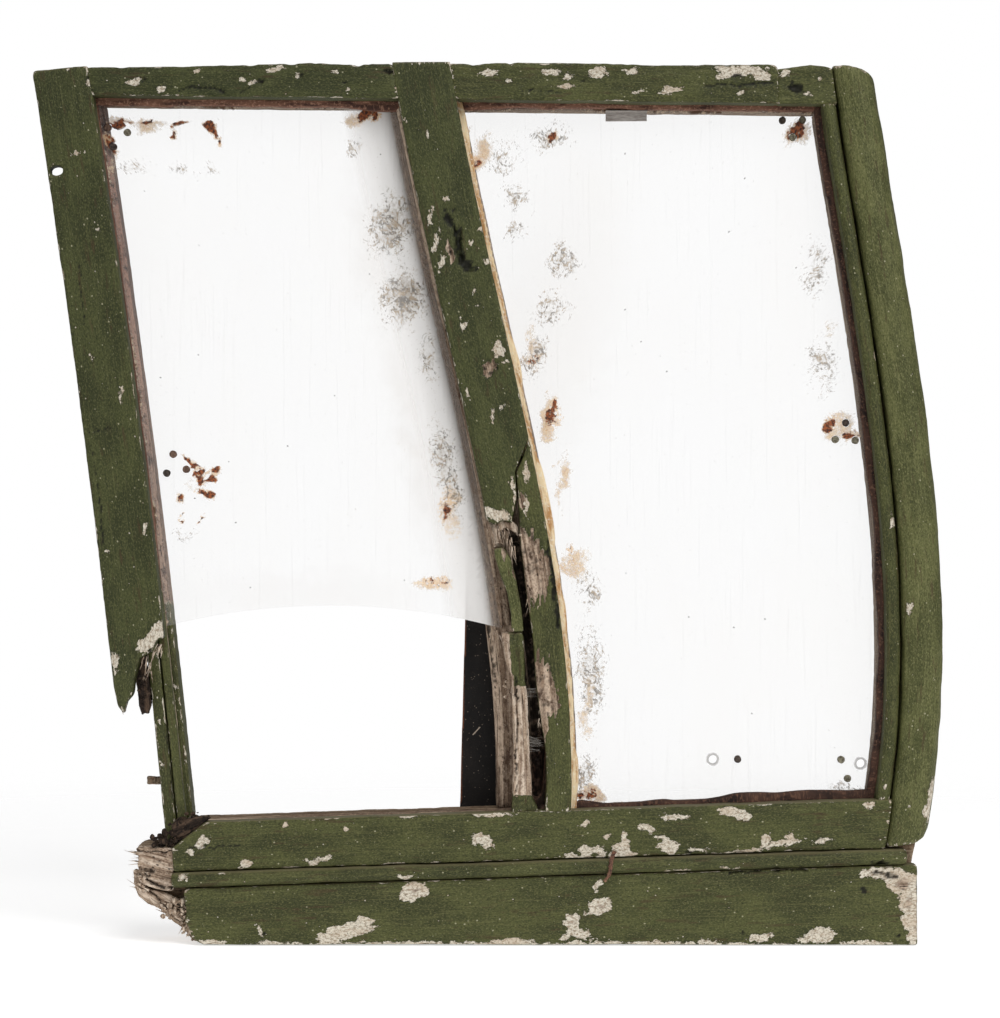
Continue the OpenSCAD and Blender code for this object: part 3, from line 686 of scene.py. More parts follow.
@dataclass(frozen=True)
class OldPaint(Finish):
    """Thick old gloss paint that has weathered, flaked and gathered dirt over pale primer and grey wood, with
    painted shade in its pits and splits and round the edges of its flakes.
    """

    light: Colour = tint(104, 103, 64)
    body: Colour = tint(75, 78, 43)
    shade: Colour = tint(55, 58, 31)
    flecks: float = 0.3
    under: WoodTones = GREY_BROWN

    def dress(self, bench: Bench) -> None:
        """Adds the nodes."""
        grain, *_ = bench.stored("grain")
        _, flake, edge, paint = bench.stored("wear")
        _, dark, red, dust = bench.stored("tone")

        clouds = bench.noise(grain, (0.022, 0.05, 0.05), 4, 0.6)
        brushed = bench.noise(grain, (0.035, 0.9, 0.9), 4, 0.6, moved=(4, 1, 6))
        pimples = bench.noise(grain, (0.5, 0.62, 0.62), 3, 0.6, moved=(9, 2, 3))
        colour = bench.blend(bench.band(clouds, 0.40, 0.60), self.shade, self.body)
        colour = bench.wash(colour, self.light, brushed, 0.5, 0.72, 0.5)
        colour = bench.wash(colour, self.shade, brushed, 0.46, 0.28, 0.6)
        colour = bench.wash(colour, self.shade, pimples, 0.50, 0.34, 0.65)
        grit = bench.noise(grain, (0.7, 1.4, 1.4), 3, 0.7, moved=(2, 9, 4))
        colour = bench.wash(colour, self.light, grit, 0.51, 0.66, 0.75)
        colour = bench.wash(colour, tint(36, 36, 18), grit, 0.46, 0.30, 0.85)
        rubbed = bench.band(bench.plus(bench.times(edge, 0.55), pimples), 0.72, 1.05)
        colour = bench.blend(bench.times(rubbed, 0.6), colour, self.light)
        dusty = bench.noise(grain, (0.9, 1.3, 1.3), 2, moved=(1, 5, 8))
        colour = bench.wash(colour, tint(150, 146, 116), dusty, 0.66, 0.76, 0.6)
        specks = bench.cells(grain, (0.15, 0.19, 0.19), (4, 8, 2))
        specks = bench.plus(specks, bench.times(bench.calc("SUBTRACT", grit, 0.5), 0.16))
        colour = bench.wash(colour, tint(168, 163, 134), specks, 0.10, 0.06, 0.8)
        grime = bench.noise(grain, (0.05, 0.3, 0.3), 4, 0.65, moved=(6, 6, 2))
        colour = bench.wash(colour, tint(66, 50, 33), grime, 0.57, 0.70, 0.6)
        colour = bench.blend(bench.times(dust, 0.6), colour, tint(138, 128, 100))

        ragged = bench.noise(grain, (0.28, 0.4, 0.4), 5, 0.68, moved=(3, 3, 9))
        ragged = bench.times(bench.calc("SUBTRACT", ragged, 0.5), 7.0)
        placed = bench.plus(flake, ragged)
        freckles = bench.cells(grain, (0.11, 0.15, 0.15), (5, 5, 5))
        freckles = bench.calc("SUBTRACT", 0.16 * self.flecks, freckles)
        freckles = bench.plus(bench.times(freckles, 8.0), bench.times(ragged, 0.2))
        chipped = bench.noise(grain, (0.14, 0.5, 0.5), 5, 0.65, moved=(8, 4, 1))
        chipped = bench.plus(bench.times(edge, 0.35), chipped)
        chipped = bench.times(bench.calc("SUBTRACT", chipped, 0.79), 10.0)
        lost = bench.calc("MAXIMUM", bench.calc("MAXIMUM", placed, freckles), chipped)
        cover = bench.plus(paint, bench.times(ragged, 0.08))
        unpainted = bench.times(bench.calc("SUBTRACT", 0.5, cover), 10.0)
        gone = bench.band(bench.calc("MAXIMUM", lost, unpainted), -0.04, 0.06)
        rim = bench.calc("SUBTRACT", bench.band(lost, -0.45, -0.02), gone, clamp=True)
        wood = bench.band(bench.plus(lost, bench.times(ragged, -1.3)), 3.0, 5.5)
        wood = bench.calc("MAXIMUM", wood, bench.band(unpainted, 0.3, 0.8))

        under, under_height = self.under.lay(bench, grain)
        red_wood, _ = RED_BROWN.lay(bench, grain)
        under = bench.blend(red, under, red_wood)
        primer_dirt = bench.noise(grain, (0.5, 0.8, 0.8), 4, 0.65, moved=(2, 2, 2))
        primer = bench.blend(bench.band(primer_dirt, 0.38, 0.56), tint(156, 142, 122), tint(216, 208, 192))
        primer = bench.wash(primer, tint(184, 162, 138), clouds, 0.5, 0.62, 0.45)
        crazing = bench.cells(grain, (0.16, 0.3, 0.3), (7, 7, 7), "DISTANCE_TO_EDGE")
        primer = bench.wash(primer, tint(112, 94, 76), crazing, 0.06, 0.01, 0.4)
        primer = bench.wash(primer, self.body, primer_dirt, 0.62, 0.68, 0.8)
        bare = bench.blend(wood, primer, under)
        # Painted shadow: a dark line along the raised edge of the paint round each flake.
        colour = bench.blend(bench.times(rim, 0.55), colour, tint(44, 42, 26))
        colour = bench.blend(gone, colour, bare)
        # Painted shade: near black inside pits and splits, from the tone attribute.
        colour = bench.blend(bench.times(dark, 0.94), colour, tint(14, 12, 9))

        gloss = bench.plus(0.42, bench.times(brushed, 0.2), bench.times(gone, 0.34))
        film = bench.plus(bench.times(pimples, 0.40), bench.times(brushed, 0.12), bench.times(clouds, 0.3))
        film = bench.plus(film, bench.times(grit, 0.22), bench.times(gone, -0.35))
        height = bench.plus(film, bench.times(bench.times(under_height, wood), 0.8))
        bench.set(Base_Color=colour, Roughness=gloss, Specular_IOR_Level=0.2)
        bench.bump(height, 0.9)


@dataclass(frozen=True)
class OldSealant(Finish):
    """Bedding that has browned, cracked and picked up dirt."""

    pale: Colour
    body: Colour
    dark: Colour

    def dress(self, bench: Bench) -> None:
        """Adds the nodes."""
        grain, *_ = bench.stored("grain")
        _, dark, red, dust = bench.stored("tone")
        runs = bench.noise(grain, (0.06, 0.35, 0.35), 4, 0.6)
        crumbs = bench.noise(grain, (0.7, 0.9, 0.9), 4, 0.65, moved=(3, 1, 7))
        colour = bench.blend(bench.band(runs, 0.36, 0.6), self.dark, self.body)
        colour = bench.wash(colour, self.pale, crumbs, 0.5, 0.66, 0.6)
        colour = bench.wash(colour, tint(120, 38, 30), bench.plus(red, crumbs), 1.0, 1.2)
        colour = bench.wash(colour, tint(206, 188, 170), bench.plus(dust, crumbs), 0.95, 1.1)
        # Painted shade from the tone attribute, near black where it is set.
        colour = bench.blend(bench.times(dark, 0.9), colour, tint(18, 12, 10))
        bench.set(Base_Color=colour, Roughness=0.75, Specular_IOR_Level=0.3)
        bench.bump(bench.plus(bench.times(crumbs, 0.5), bench.times(runs, 0.5)))


@dataclass(frozen=True)
class RustySteel(Finish):
    """Steel under a crust of rust."""

    name: str = "rusted steel"
    dark: Colour = tint(62, 42, 34)
    pale: Colour = tint(122, 82, 62)

    def dress(self, bench: Bench) -> None:
        """Adds the nodes."""
        place = bench.place()
        crust = bench.noise(place, (0.8, 0.8, 0.8), 5, 0.65)
        bloom = bench.noise(place, (0.2, 0.2, 0.2), 3, moved=(4, 4, 4))
        colour = bench.blend(bench.band(crust, 0.38, 0.62), self.dark, self.pale)
        colour = bench.wash(colour, tint(142, 108, 84), bloom, 0.5, 0.66)
        bench.set(Base_Color=colour, Roughness=0.86, Metallic=bench.band(crust, 0.44, 0.3))
        bench.bump(bench.times(crust, 0.6))


@dataclass(frozen=True)
class BlackedSteel(Finish):
    """Thin black japanned steel, dusty and scratched."""

    name: str = "black strap steel"
    scratch: tuple[float, float] = (-7.6, 125.0)
    scratch_turn: float = 47.0

    def dress(self, bench: Bench) -> None:
        """Adds the nodes."""
        place = bench.place()
        _, _, edge, _ = bench.stored("tone")
        run = bench.add("ShaderNodeVectorMath", operation="DOT_PRODUCT")
        side = bench.add("ShaderNodeVectorMath", operation="DOT_PRODUCT")
        turn = math.radians(self.scratch_turn)
        from_scratch = bench.stretched(place, (1, 0, 1), (-self.scratch[0], 0, -self.scratch[1]))
        for node, angle in ((run, turn), (side, turn + math.pi / 2)):
            bench.join(from_scratch, node.inputs[0])
            node.inputs[1].default_value = (math.cos(angle), 0, math.sin(angle))
        scratch = bench.times(
            bench.band(bench.calc("ABSOLUTE", run.outputs["Value"]), 3.6, 3.0),
            bench.band(bench.calc("ABSOLUTE", side.outputs["Value"]), 0.42, 0.2),
        )
        dust = bench.noise(place, (0.9, 0.9, 0.9), 4, 0.7)
        film = bench.noise(place, (0.05, 0.05, 0.03), 4, 0.6, moved=(2, 2, 2))
        specks = bench.band(bench.cells(place, (0.4, 0.4, 0.4)), 0.16, 0.08)
        colour = bench.blend(bench.band(film, 0.35, 0.65), tint(20, 18, 17), tint(32, 29, 27))
        colour = bench.wash(colour, tint(90, 82, 74), dust, 0.58, 0.72, 0.4)
        colour = bench.blend(bench.times(specks, 0.7), colour, tint(140, 126, 112))
        colour = bench.wash(colour, tint(104, 62, 42), bench.plus(edge, dust), 1.05, 1.25)
        colour = bench.blend(scratch, colour, tint(178, 164, 148))
        roughness = bench.plus(0.42, bench.times(dust, 0.5))
        bench.set(Base_Color=colour, Roughness=roughness, Specular_IOR_Level=0.2)
        bench.bump(bench.times(dust, 0.12))


@dataclass(frozen=True)
class Tape(Finish):
    """Grey paper tape with fibres and curled dirt."""

    name: str = "grey tape"

    def dress(self, bench: Bench) -> None:
        """Adds the nodes."""
        place = bench.place()
        fibres = bench.noise(place, (0.25, 1.0, 1.4), 4, 0.6)
        dirt = bench.noise(place, (0.12, 0.12, 0.2), 3, moved=(5, 0, 3))
        colour = bench.blend(bench.band(fibres, 0.35, 0.65), tint(148, 140, 134), tint(186, 180, 174))
        colour = bench.wash(colour, tint(110, 98, 88), dirt, 0.5, 0.7, 0.5)
        bench.set(Base_Color=colour, Roughness=0.7)
        bench.bump(bench.times(fibres, 0.2))


@dataclass(frozen=True)
class BlackRubber(Finish):
    """Perished rubber of the blocks that the pane stands on."""

    name: str = "perished rubber"

    def dress(self, bench: Bench) -> None:
        """Adds the nodes."""
        place = bench.place()
        bloom = bench.noise(place, (0.4, 0.4, 0.4), 4, 0.6)
        cracks = bench.cells(place, (0.5, 0.5, 0.5), feature="DISTANCE_TO_EDGE")
        colour = bench.blend(bench.band(bloom, 0.4, 0.65), tint(28, 27, 26), tint(66, 62, 58))
        bench.set(Base_Color=colour, Roughness=0.8)
        bench.bump(bench.times(bench.band(cracks, 0.0, 0.08), 0.2))


@dataclass(frozen=True)
class ClearSheet(Finish):
    """Clear plastic sheet, hazed by age, with rust, sealant and grey grime where its stains lie."""

    holes: tuple[tuple[float, float], ...]
    hole_radius: float = 2.6

    def rims(self, bench: Bench, place: Socket) -> Socket:
        """A dirty ring round each hole, as a share from 0 to 1."""
        nearest: Value = 100.0
        flat = bench.stretched(place, (1, 0, 1))
        for x, z in self.holes:
            gap = bench.add("ShaderNodeVectorMath", operation="DISTANCE")
            bench.join(flat, gap.inputs[0])
            gap.inputs[1].default_value = (x, 0, z)
            nearest = bench.calc("MINIMUM", nearest, gap.outputs["Value"])
        ragged = bench.noise(flat, (0.5, 1, 0.5), 4, 0.7)
        nearest = bench.plus(nearest, bench.times(ragged, -2.4))
        return bench.times(bench.band(nearest, self.hole_radius + 0.3, self.hole_radius - 0.2), 0.55)

    def dress(self, bench: Bench) -> None:
        """Adds the nodes."""
        place = bench.place()
        _, rust, cream, grey = bench.stored("stain")
        _, haze, border, bloom = bench.stored("film")
        flat = bench.stretched(place, (1, 0, 1))
        lace = bench.noise(flat, (0.22, 1, 0.22), 7, 0.68, 0.4)
        lace_fine = bench.noise(flat, (0.6, 1, 0.5), 5, 0.7, moved=(5, 0, 9))
        clouds = bench.noise(flat, (0.012, 1, 0.009), 3, moved=(2, 0, 2))
        wiped = bench.noise(flat, (0.30, 1, 0.012), 3, 0.6, moved=(4, 0, 7))
        dots = bench.band(bench.cells(flat, (0.07, 1, 0.07), (3, 0, 1)), 0.035, 0.02)

        rust_mask = bench.band(bench.plus(lace, rust), 0.91, 0.98)
        halo_mask = bench.band(bench.plus(lace_fine, rust), 0.76, 0.96)
        mottle = bench.plus(bench.times(lace, 0.4), bench.times(lace_fine, 0.6))
        cream_mask = bench.band(bench.plus(mottle, cream), 0.78, 1.02)
        small = bench.cells(flat, (0.42, 1, 0.42), (1, 0, 4))
        uneven = bench.times(bench.calc("SUBTRACT", lace_fine, 0.5), 1.1)
        small = bench.plus(bench.times(grey, 0.62), bench.times(small, -1.0), uneven)
        veins = bench.noise(flat, (0.13, 1, 0.11), 5, 0.62, 0.8, moved=(6, 0, 2))
        veins = bench.times(bench.calc("ABSOLUTE", bench.calc("SUBTRACT", veins, 0.5)), -7.0)
        veins = bench.plus(bench.times(grey, 0.9), veins, uneven)
        speck_mask = bench.calc("MAXIMUM", bench.band(small, 0.0, 0.16), bench.band(veins, 0.0, 0.34))
        smudge_mask = bench.band(bench.plus(mottle, bench.times(grey, 0.8)), 0.70, 0.98)
        edge_mask = bench.band(bench.plus(lace_fine, border), 0.93, 1.06)
        crust_mask = bench.band(bench.plus(lace, bench.times(border, 1.1)), 1.02, 1.08)
        rim = self.rims(bench, place)

        colour = bench.blend(bench.band(clouds, 0.35, 0.7), tint(228, 228, 228), tint(232, 228, 223))
        colour = bench.blend(bench.times(haze, 1.6), colour, tint(196, 172, 146))
        colour = bench.wash(colour, tint(252, 250, 248), bloom, 0.05, 0.5)
        colour = bench.blend(smudge_mask, colour, tint(190, 180, 168))
        cream_tone = bench.blend(bench.band(lace_fine, 0.38, 0.62), tint(214, 160, 96), tint(243, 222, 186))
        colour = bench.blend(cream_mask, colour, cream_tone)
        colour = bench.blend(halo_mask, colour, tint(240, 206, 164))
        colour = bench.blend(edge_mask, colour, tint(226, 202, 170))
        speck_tone = bench.blend(bench.band(lace, 0.44, 0.56), tint(126, 118, 108), tint(180, 160, 134))
        colour = bench.blend(speck_mask, colour, speck_tone)
        rust_tone = bench.blend(bench.band(lace_fine, 0.42, 0.58), tint(58, 33, 26), tint(160, 88, 46))
        colour = bench.blend(crust_mask, colour, tint(104, 78, 58))
        colour = bench.blend(rust_mask, colour, rust_tone)
        colour = bench.blend(bench.calc("MAXIMUM", rim, dots), colour, tint(52, 44, 34))

        cover = bench.plus(0.05, bench.times(clouds, 0.06), bench.times(haze, 0.35))
        cover = bench.plus(cover, bench.times(bench.band(wiped, 0.55, 0.8), 0.05))
        for mask, most in (
            (bloom, 0.95), (smudge_mask, 0.42), (cream_mask, 0.62), (halo_mask, 0.55), (edge_mask, 0.7),
            (speck_mask, 0.66), (crust_mask, 0.85), (rust_mask, 0.96), (rim, 0.85),
        ):
            cover = bench.calc("MAXIMUM", cover, bench.times(mask, most))
        cover = bench.calc("MAXIMUM", cover, bench.times(dots, 0.7), clamp=True)
        gloss = bench.plus(0.14, bench.times(clouds, 0.1), bench.times(cover, 0.45))
        bench.set(Base_Color=colour, Roughness=gloss, Alpha=cover, Specular_IOR_Level=0.4)
        bench.bump(bench.times(bench.plus(rust_mask, bench.times(cream_mask, 0.5)), 0.15), 0.6)


class Stock:
    """Every finish, made once."""

    def __init__(self) -> None:
        """Makes the materials."""
        self.green = OldPaint("green paint").make()
        # Darker and lighter copies of the one green paint: painted shade for the left board, the mullion face
        # and the left top rail, and painted highlight for the right moulding and the loose splinter.
        self.green_painted_shade = OldPaint(
            "green paint in shade", tint(95, 96, 60), tint(68, 72, 40), tint(50, 54, 29), 0.3
        ).make()
        self.green_painted_highlight = OldPaint(
            "green paint on the moulding", tint(122, 121, 80), tint(94, 96, 57), tint(70, 73, 40), 0.2
        ).make()
        self.green_torn = OldPaint("green paint on torn wood", flecks=0.2, under=PALE_TORN).make()
        self.bare = BareWood("bare grey-brown wood", GREY_BROWN).make()
        self.torn = BareWood("torn wood", PALE_TORN).make()
        self.rot = BareWood("dark rotted wood", DARK_ROT).make()
        self.back = BareWood("aged wood of the core", AGED_BACK).make()
        self.brown_bedding = OldSealant(
            "brown bedding", tint(196, 148, 122), tint(128, 90, 72), tint(64, 40, 32)
        ).make()
        self.dark_bedding = OldSealant(
            "dark bedding", tint(132, 96, 76), tint(76, 52, 41), tint(34, 22, 18)
        ).make()
        self.orange_bedding = OldSealant(
            "orange bedding", tint(255, 247, 232), tint(246, 222, 180), tint(190, 140, 88)
        ).make()
        self.web = BareWood(
            "dusty cobweb", WoodTones(tint(222, 218, 212), tint(186, 180, 172), tint(140, 132, 124))
        ).make()
        self.rust = RustySteel().make()
        self.grey_rust = RustySteel("grey rusted steel", tint(88, 72, 56), tint(146, 126, 104)).make()
        self.strap = BlackedSteel().make()
        self.tape = Tape().make()
        self.rubber = BlackRubber().make()


# ---------------------------------------------------------------- timber


class Coat(Enum):
    """Where a timber has paint."""

    NONE = "none"
    FRONT = "front and edges"


@dataclass
class Timber:
    """One timber, from its solid to a weathered piece."""

    node: str
    line: Upright | Level
    finish: bpy.types.Material
    slot: str = "painted_wood"
    coat: Coat = Coat.FRONT
    voxel: float = 1.0
    wobble: float = 0.30
    lumps: float = 0.14
    ridges: float = 0.10
    nibble: float = 0.5
    butt: float = 0.9
    seed: int = 1
    reddened: float = 0.0
    # Painted shade of hollows, which carve may set.
    hollow: np.ndarray | float = 0.0
    flakes: tuple[Flake, ...] = ()
    pits: tuple[Pit, ...] = ()
    splits: tuple[Split, ...] = ()

    def drift(self, points: np.ndarray) -> np.ndarray:
        """Slow wobble of the whole frame, the same for timbers that meet."""
        return shove(points, (26, 60, 26), 11) * self.wobble * (1, 0.6, 1)

    def marks(self, skin: Skin) -> tuple[np.ndarray, np.ndarray, np.ndarray, np.ndarray]:
        """Works out the marks on the front.

        Args:
            skin: The timber's skin.

        Returns:
            How far each vertex is inside a flake in millimetres, the share of wood torn bare, the depth that
            is gone, and how dark it is: painted shade inside pits and splits, and darker patches of torn
                wood.
        """
        facing = ease(-skin.normals[:, 1], 0.1, 0.5)
        slow = shove(skin.points, (5, 9, 5), 21)
        quick = shove(skin.points, (2.2, 4, 2.6), 24)
        along = 0 if isinstance(self.line, Level) else 2
        cell = [1.3, 3.0, 1.3]
        cell[along] = 60.0
        fibres = noise(skin.points, cell, 28, 2)
        places = skin.points + (slow * 1.7 + quick * 0.9) * (1, 0, 1)
        places[:, along] += 1.2 * fibres
        frayed = places.copy()
        frayed[:, along] += 7.0 * fibres
        frayed[:, 2 - along] += 1.4 * quick[:, 1]
        crumbs = noise(skin.points, (2.4, 3, 2.4), 27, 3)
        flake = np.full(len(places), FAR_OUTSIDE)
        torn = np.zeros(len(places))
        depth = np.zeros(len(places))
        dark = np.zeros(len(places))
        for mark in self.flakes:
            inner = mark.inside(frayed if isinstance(mark, Torn) else places)
            if isinstance(mark, Torn):
                bare = ease(inner + crumbs, -0.2, 0.6)
                torn = np.maximum(torn, bare)
                depth = np.maximum(depth, bare * (0.7 + 1.3 * ease(crumbs, -0.3, 0.5)))
                dark = np.maximum(dark, bare * 0.7 * ease(-crumbs, 0.15, 0.6))
            else:
                flake = np.maximum(flake, inner)
        for mark in (*self.pits, *self.splits):
            reach = min(mark.across, mark.height) if isinstance(mark, Pit) else mark.width / 2
            inner = mark.inside(places) + crumbs * reach * 0.8
            depth = np.maximum(depth, mark.depth * ease(inner, -0.3, reach * 0.8) * (0.75 - 0.5 * crumbs))
            # Painted shade inside each pit and split, of uneven strength.
            shade_strength = 0.96 - 0.75 * ease(quick[:, 0], 0.05, 0.45)
            dark = np.maximum(dark, shade_strength * ease(inner, -0.05, min(0.45, reach * 0.5)))
        return np.where(facing > 0.3, flake, FAR_OUTSIDE), torn * facing, depth * facing, dark * facing

    def shape(self, skin: Skin, grain: np.ndarray, edge: np.ndarray) -> tuple[np.ndarray, ...]:
        """Moves the skin's vertices.

        Args:
            skin: The timber's skin.
            grain: Place of each vertex in the timber.
            edge: How sharp the timber is there.

        Returns:
            The flake, torn and darkness values for the finish.
        """
        flake, torn, depth, dark = self.marks(skin)
        lift = noise(grain, (14, 5, 5), self.seed, 3) * self.lumps
        lift += noise(grain, (55, 1.9, 1.9), self.seed + 3, 2) * self.ridges
        lift -= edge * (0.25 + self.nibble * ease(noise(grain, (9, 6, 6), self.seed + 5, 2), 0.0, 0.6))
        lift -= 0.25 * ease(flake, 0.0, 0.9)
        ends = skin.normals * (1, 0, 0) if isinstance(self.line, Level) else skin.normals * (0, 0, 1)
        ends *= self.butt * ease(np.abs(ends).max(axis=1), 0.3, 0.7)[:, None]
        skin.points += self.drift(skin.points) + skin.normals * lift[:, None] + ends
        skin.points[:, 1] += depth
        return flake, torn, dark

    def carve(self, skin: Skin, grain: np.ndarray) -> None:
        """Further shaping that one kind of timber needs."""

    def paint_cover(self, skin: Skin, grain: np.ndarray) -> np.ndarray:
        """Share of paint at each vertex."""
        if self.coat is Coat.NONE:
            return np.zeros(len(skin.points))
        return ease(-skin.normals[:, 1], -0.75, -0.45)

    def make(self) -> bpy.types.Object:
        """Builds the timber.

        Returns:
            The finished piece.
        """
        piece = copy_of(self.node, f"{self.node}_weathered")
        skin = skinned(piece, self.voxel)
        grain = self.line.grain(skin.points) + (GRAIN_STEP * self.seed, 0, 0)
        edge = skin.sharpness()
        cover = self.paint_cover(skin, grain)
        red = self.redness(skin)
        flake, torn, dark = self.shape(skin, grain, edge)
        cover = cover * (1 - torn)
        self.carve(skin, grain)
        # The painted shade of the furrows joins that of the pits and splits.
        dark = np.maximum(dark, self.hollow)
        skin.store("grain", *grain.T)
        skin.store("wear", flake, edge, cover)
        skin.store("tone", dark, red, 0.0 if self.coat is Coat.NONE else self.dusting(skin))
        skin.write()
        coated(piece, self.finish)
        return hand_over(piece, self.slot, self.node)

    def redness(self, skin: Skin) -> np.ndarray:
        """Share of red-brown stain at each vertex."""
        return np.full(len(skin.points), self.reddened)

    def dusting(self, skin: Skin) -> np.ndarray:
        """Dust on faces that look up."""
        return ease(skin.normals[:, 2], 0.6, 1.0) * 0.8


@dataclass
class RottedTimber(Timber):
    """A timber that has lost much of its wood: deep ridges along a slanting grain and a crumbled surface."""

    coat: Coat = Coat.NONE
    slot: str = "bare_wood"
    crumble: float = 0.9
    furrow: float = 0.8
    furrow_width: float = 3.2

    def carve(self, skin: Skin, grain: np.ndarray) -> None:
        """Cuts furrows along the grain, crumbles the surface between them and darkens the furrows with
        painted shade.
        """
        furrows = noise(grain, (40, self.furrow_width, self.furrow_width), self.seed + 7, 2)
        crumbs = noise(skin.points, (4, 4, 4), self.seed + 8, 3)
        away = self.furrow * ease(furrows, -0.1, 0.6) + self.crumble * ease(crumbs, -0.1, 0.7)
        skin.points -= skin.normals * away[:, None]
        # Painted shade in the furrows, stronger where they are deep.
        self.hollow = 0.62 * ease(furrows, 0.12, 0.55) * ease(np.full(len(furrows), self.furrow), 0.5, 1.5)


@dataclass
class LeftBead(Timber):
    """The bead beside the left pane: bare and reddish on the side that faces the light above the break."""

    def paint_cover(self, skin: Skin, grain: np.ndarray) -> np.ndarray:
        """Paint on the front and low on the side, with a bare brown lip between."""
        low = 0.05 + 0.3 * ease(skin.points[:, 2], 190, 330)
        front = ease(-skin.normals[:, 1] - low, 0.0, 0.3)
        depth = skin.points[:, 1] - skin.points[:, 1].min()
        near = ease(0.62 * depth.max() + 1.5 * noise(grain, (24, 9, 9), 64, 2) - depth, 0.0, 1.2)
        side = np.maximum(ease(skin.points[:, 2], 104, 84) * 0.9, near * ease(skin.points[:, 2], 232, 190))
        return np.maximum(front, side)

    def redness(self, skin: Skin) -> np.ndarray:
        """Reddish all over the bare side."""
        return ease(skin.points[:, 2], 150, 260) * 0.9


@dataclass
class LeftCore(Timber):
    """The stile behind the left face board: painted where it shows in front, bare and reddish by the pane."""

    bare_behind: float = 3.0

    def paint_cover(self, skin: Skin, grain: np.ndarray) -> np.ndarray:
        """Paint everywhere but the back and the shoulder behind the pane."""
        shoulder = ease(skin.points[:, 1], self.bare_behind, self.bare_behind + 1.0)
        shoulder *= ease(grain[:, 1], 20.0, 24.0)
        height = skin.points[:, 2] + 9.0 * noise(grain, (14, 4, 9), 65, 2)
        lip = ease(grain[:, 1], 41.6, 42.6) * ease(height, 92, 108)
        shoulder *= np.maximum(lip, ease(height, 192, 216))
        return super().paint_cover(skin, grain) * (1 - shoulder)

    def redness(self, skin: Skin) -> np.ndarray:
        """Red-brown stain, more above."""
        return 0.35 + 0.5 * ease(skin.points[:, 2], 160, 480)


@dataclass
class MullionCore(RottedTimber):
    """The wood behind the mullion's face, painted near black as shade where the long split opens on it."""

    def carve(self, skin: Skin, grain: np.ndarray) -> None:
        """Wears it and deepens the open split."""
        super().carve(skin, grain)
        inside = ease(-skin.normals[:, 1], 0.1, 0.6) * ease(CREVICE.inside(skin.points), 0.0, 2.0)
        skin.points[:, 1] += inside * (1.6 + 1.6 * noise(skin.points, (5, 5, 5), 61, 2))

    def redness(self, skin: Skin) -> np.ndarray:
        """Red-brown low in the split."""
        low = 0.6 * ease(CREVICE.inside(skin.points), -0.5, 1.0) * ease(skin.points[:, 2], 132, 112)
        return np.maximum(low, 0.25 * ease(skin.points[:, 2], 240, 330))


@dataclass
class FootStrip(RottedTimber):
    """The pale strip at the mullion's foot, with paint left at its two ends."""

    coat: Coat = Coat.FRONT

    def paint_cover(self, skin: Skin, grain: np.ndarray) -> np.ndarray:
        """Paint on the upper right and on the lump at the foot."""
        front = super().paint_cover(skin, grain)
        height = skin.points[:, 2] + 3.0 * noise(skin.points, (4, 4, 4), 62, 2)
        across = grain[:, 1] + 1.5 * noise(skin.points, (3, 3, 5), 63, 2)
        upper = ease(height, 155, 157) * ease(across, 2.6, 3.4)
        return front * np.maximum(upper, ease(height, 91, 89))


@dataclass
class TopEdge(Timber):
    """A top rail whose upper edge is rotted to a wavy outline with bites in it."""

    bite: float = 2.4

    def carve(self, skin: Skin, grain: np.ndarray) -> None:
        """Lowers the upper edge unevenly."""
        high = ease(skin.points[:, 2], FRAME_HEIGHT - 7, FRAME_HEIGHT - 1.5)
        bites = ease(noise(skin.points, (13, 40, 400), 71, 3), 0.05, 0.75)
        ripple = 0.5 + 0.5 * noise(skin.points, (5, 9, 400), 72, 2)
        skin.points[:, 2] -= high * (self.bite * bites + 0.7 * ripple)


@dataclass
class LeftStile:
    """The left pillar: its broken face board, the stile behind it and the nail's leg below."""

    stock: Stock
    board_flakes: tuple[Flake, ...] = each(
        Flake, (-203, 182.5, 8.5, 4.2, 32), (-196.5, 189, 4.5, 4.5, 20), (-224.5, 170, 2.6, 5.5, 12),
        (-245, 475.6, 2.6, 0.7, 8), (-239.5, 517, 2.8, 1.8), (-236, 430, 1.4, 1.0), (-238, 352, 1.1, 1.6),
        (-229, 236, 1.5, 1.1), (-206, 250, 1.2, 2.6), (-220.5, 330, 1.0, 3.0),
    )
    board_splits: tuple[Split, ...] = (
        Split(((-243, 309), (-232, 308), (-226, 310.5), (-214, 309)), 0.9, 0.9),
        Split(((-238, 300), (-233, 262), (-231, 240)), 0.8, 0.5),
        Split(((-203, 176), (-207, 168), (-208, 160)), 2.0, 5.0),
        Split(((-246, 410), (-243, 372)), 0.7, 0.4),
    )

    def build(self) -> None:
        """Builds the pillar's pieces."""
        Timber(
            "left_face_board", LEFT_EDGE, self.stock.green_painted_shade, seed=2, flakes=self.board_flakes,
            splits=self.board_splits,
            pits=(Pit(-239.5, 519.5, 1.6, 1.4, 0, 2.0), Pit(-209.5, 156, 3.5, 9, 0, 3.5)),
        ).make()
        RottedTimber(
            "left_packing_fillet", LEFT_EDGE, self.stock.rot, "dark_wood", seed=3, crumble=1.6, voxel=1.1
        ).make()
        LeftBead("left_stile_bead", LEFT_INNER, self.stock.green, seed=4, voxel=0.9).make()
        LeftCore(
            "core_left_stile", LEFT_EDGE, self.stock.green, seed=5, voxel=1.1,
            flakes=(Flake(-187, 153, 4.5, 0.8, -8), Flake(-199, 134, 0.9, 2), Flake(-198, 108, 1.0, 1.6)),
            splits=(Split(((-195.5, 170), (-194, 124), (-192, 101), (-187.5, 74), (-186, 66)), 1.6, 1.8),),
        ).make()


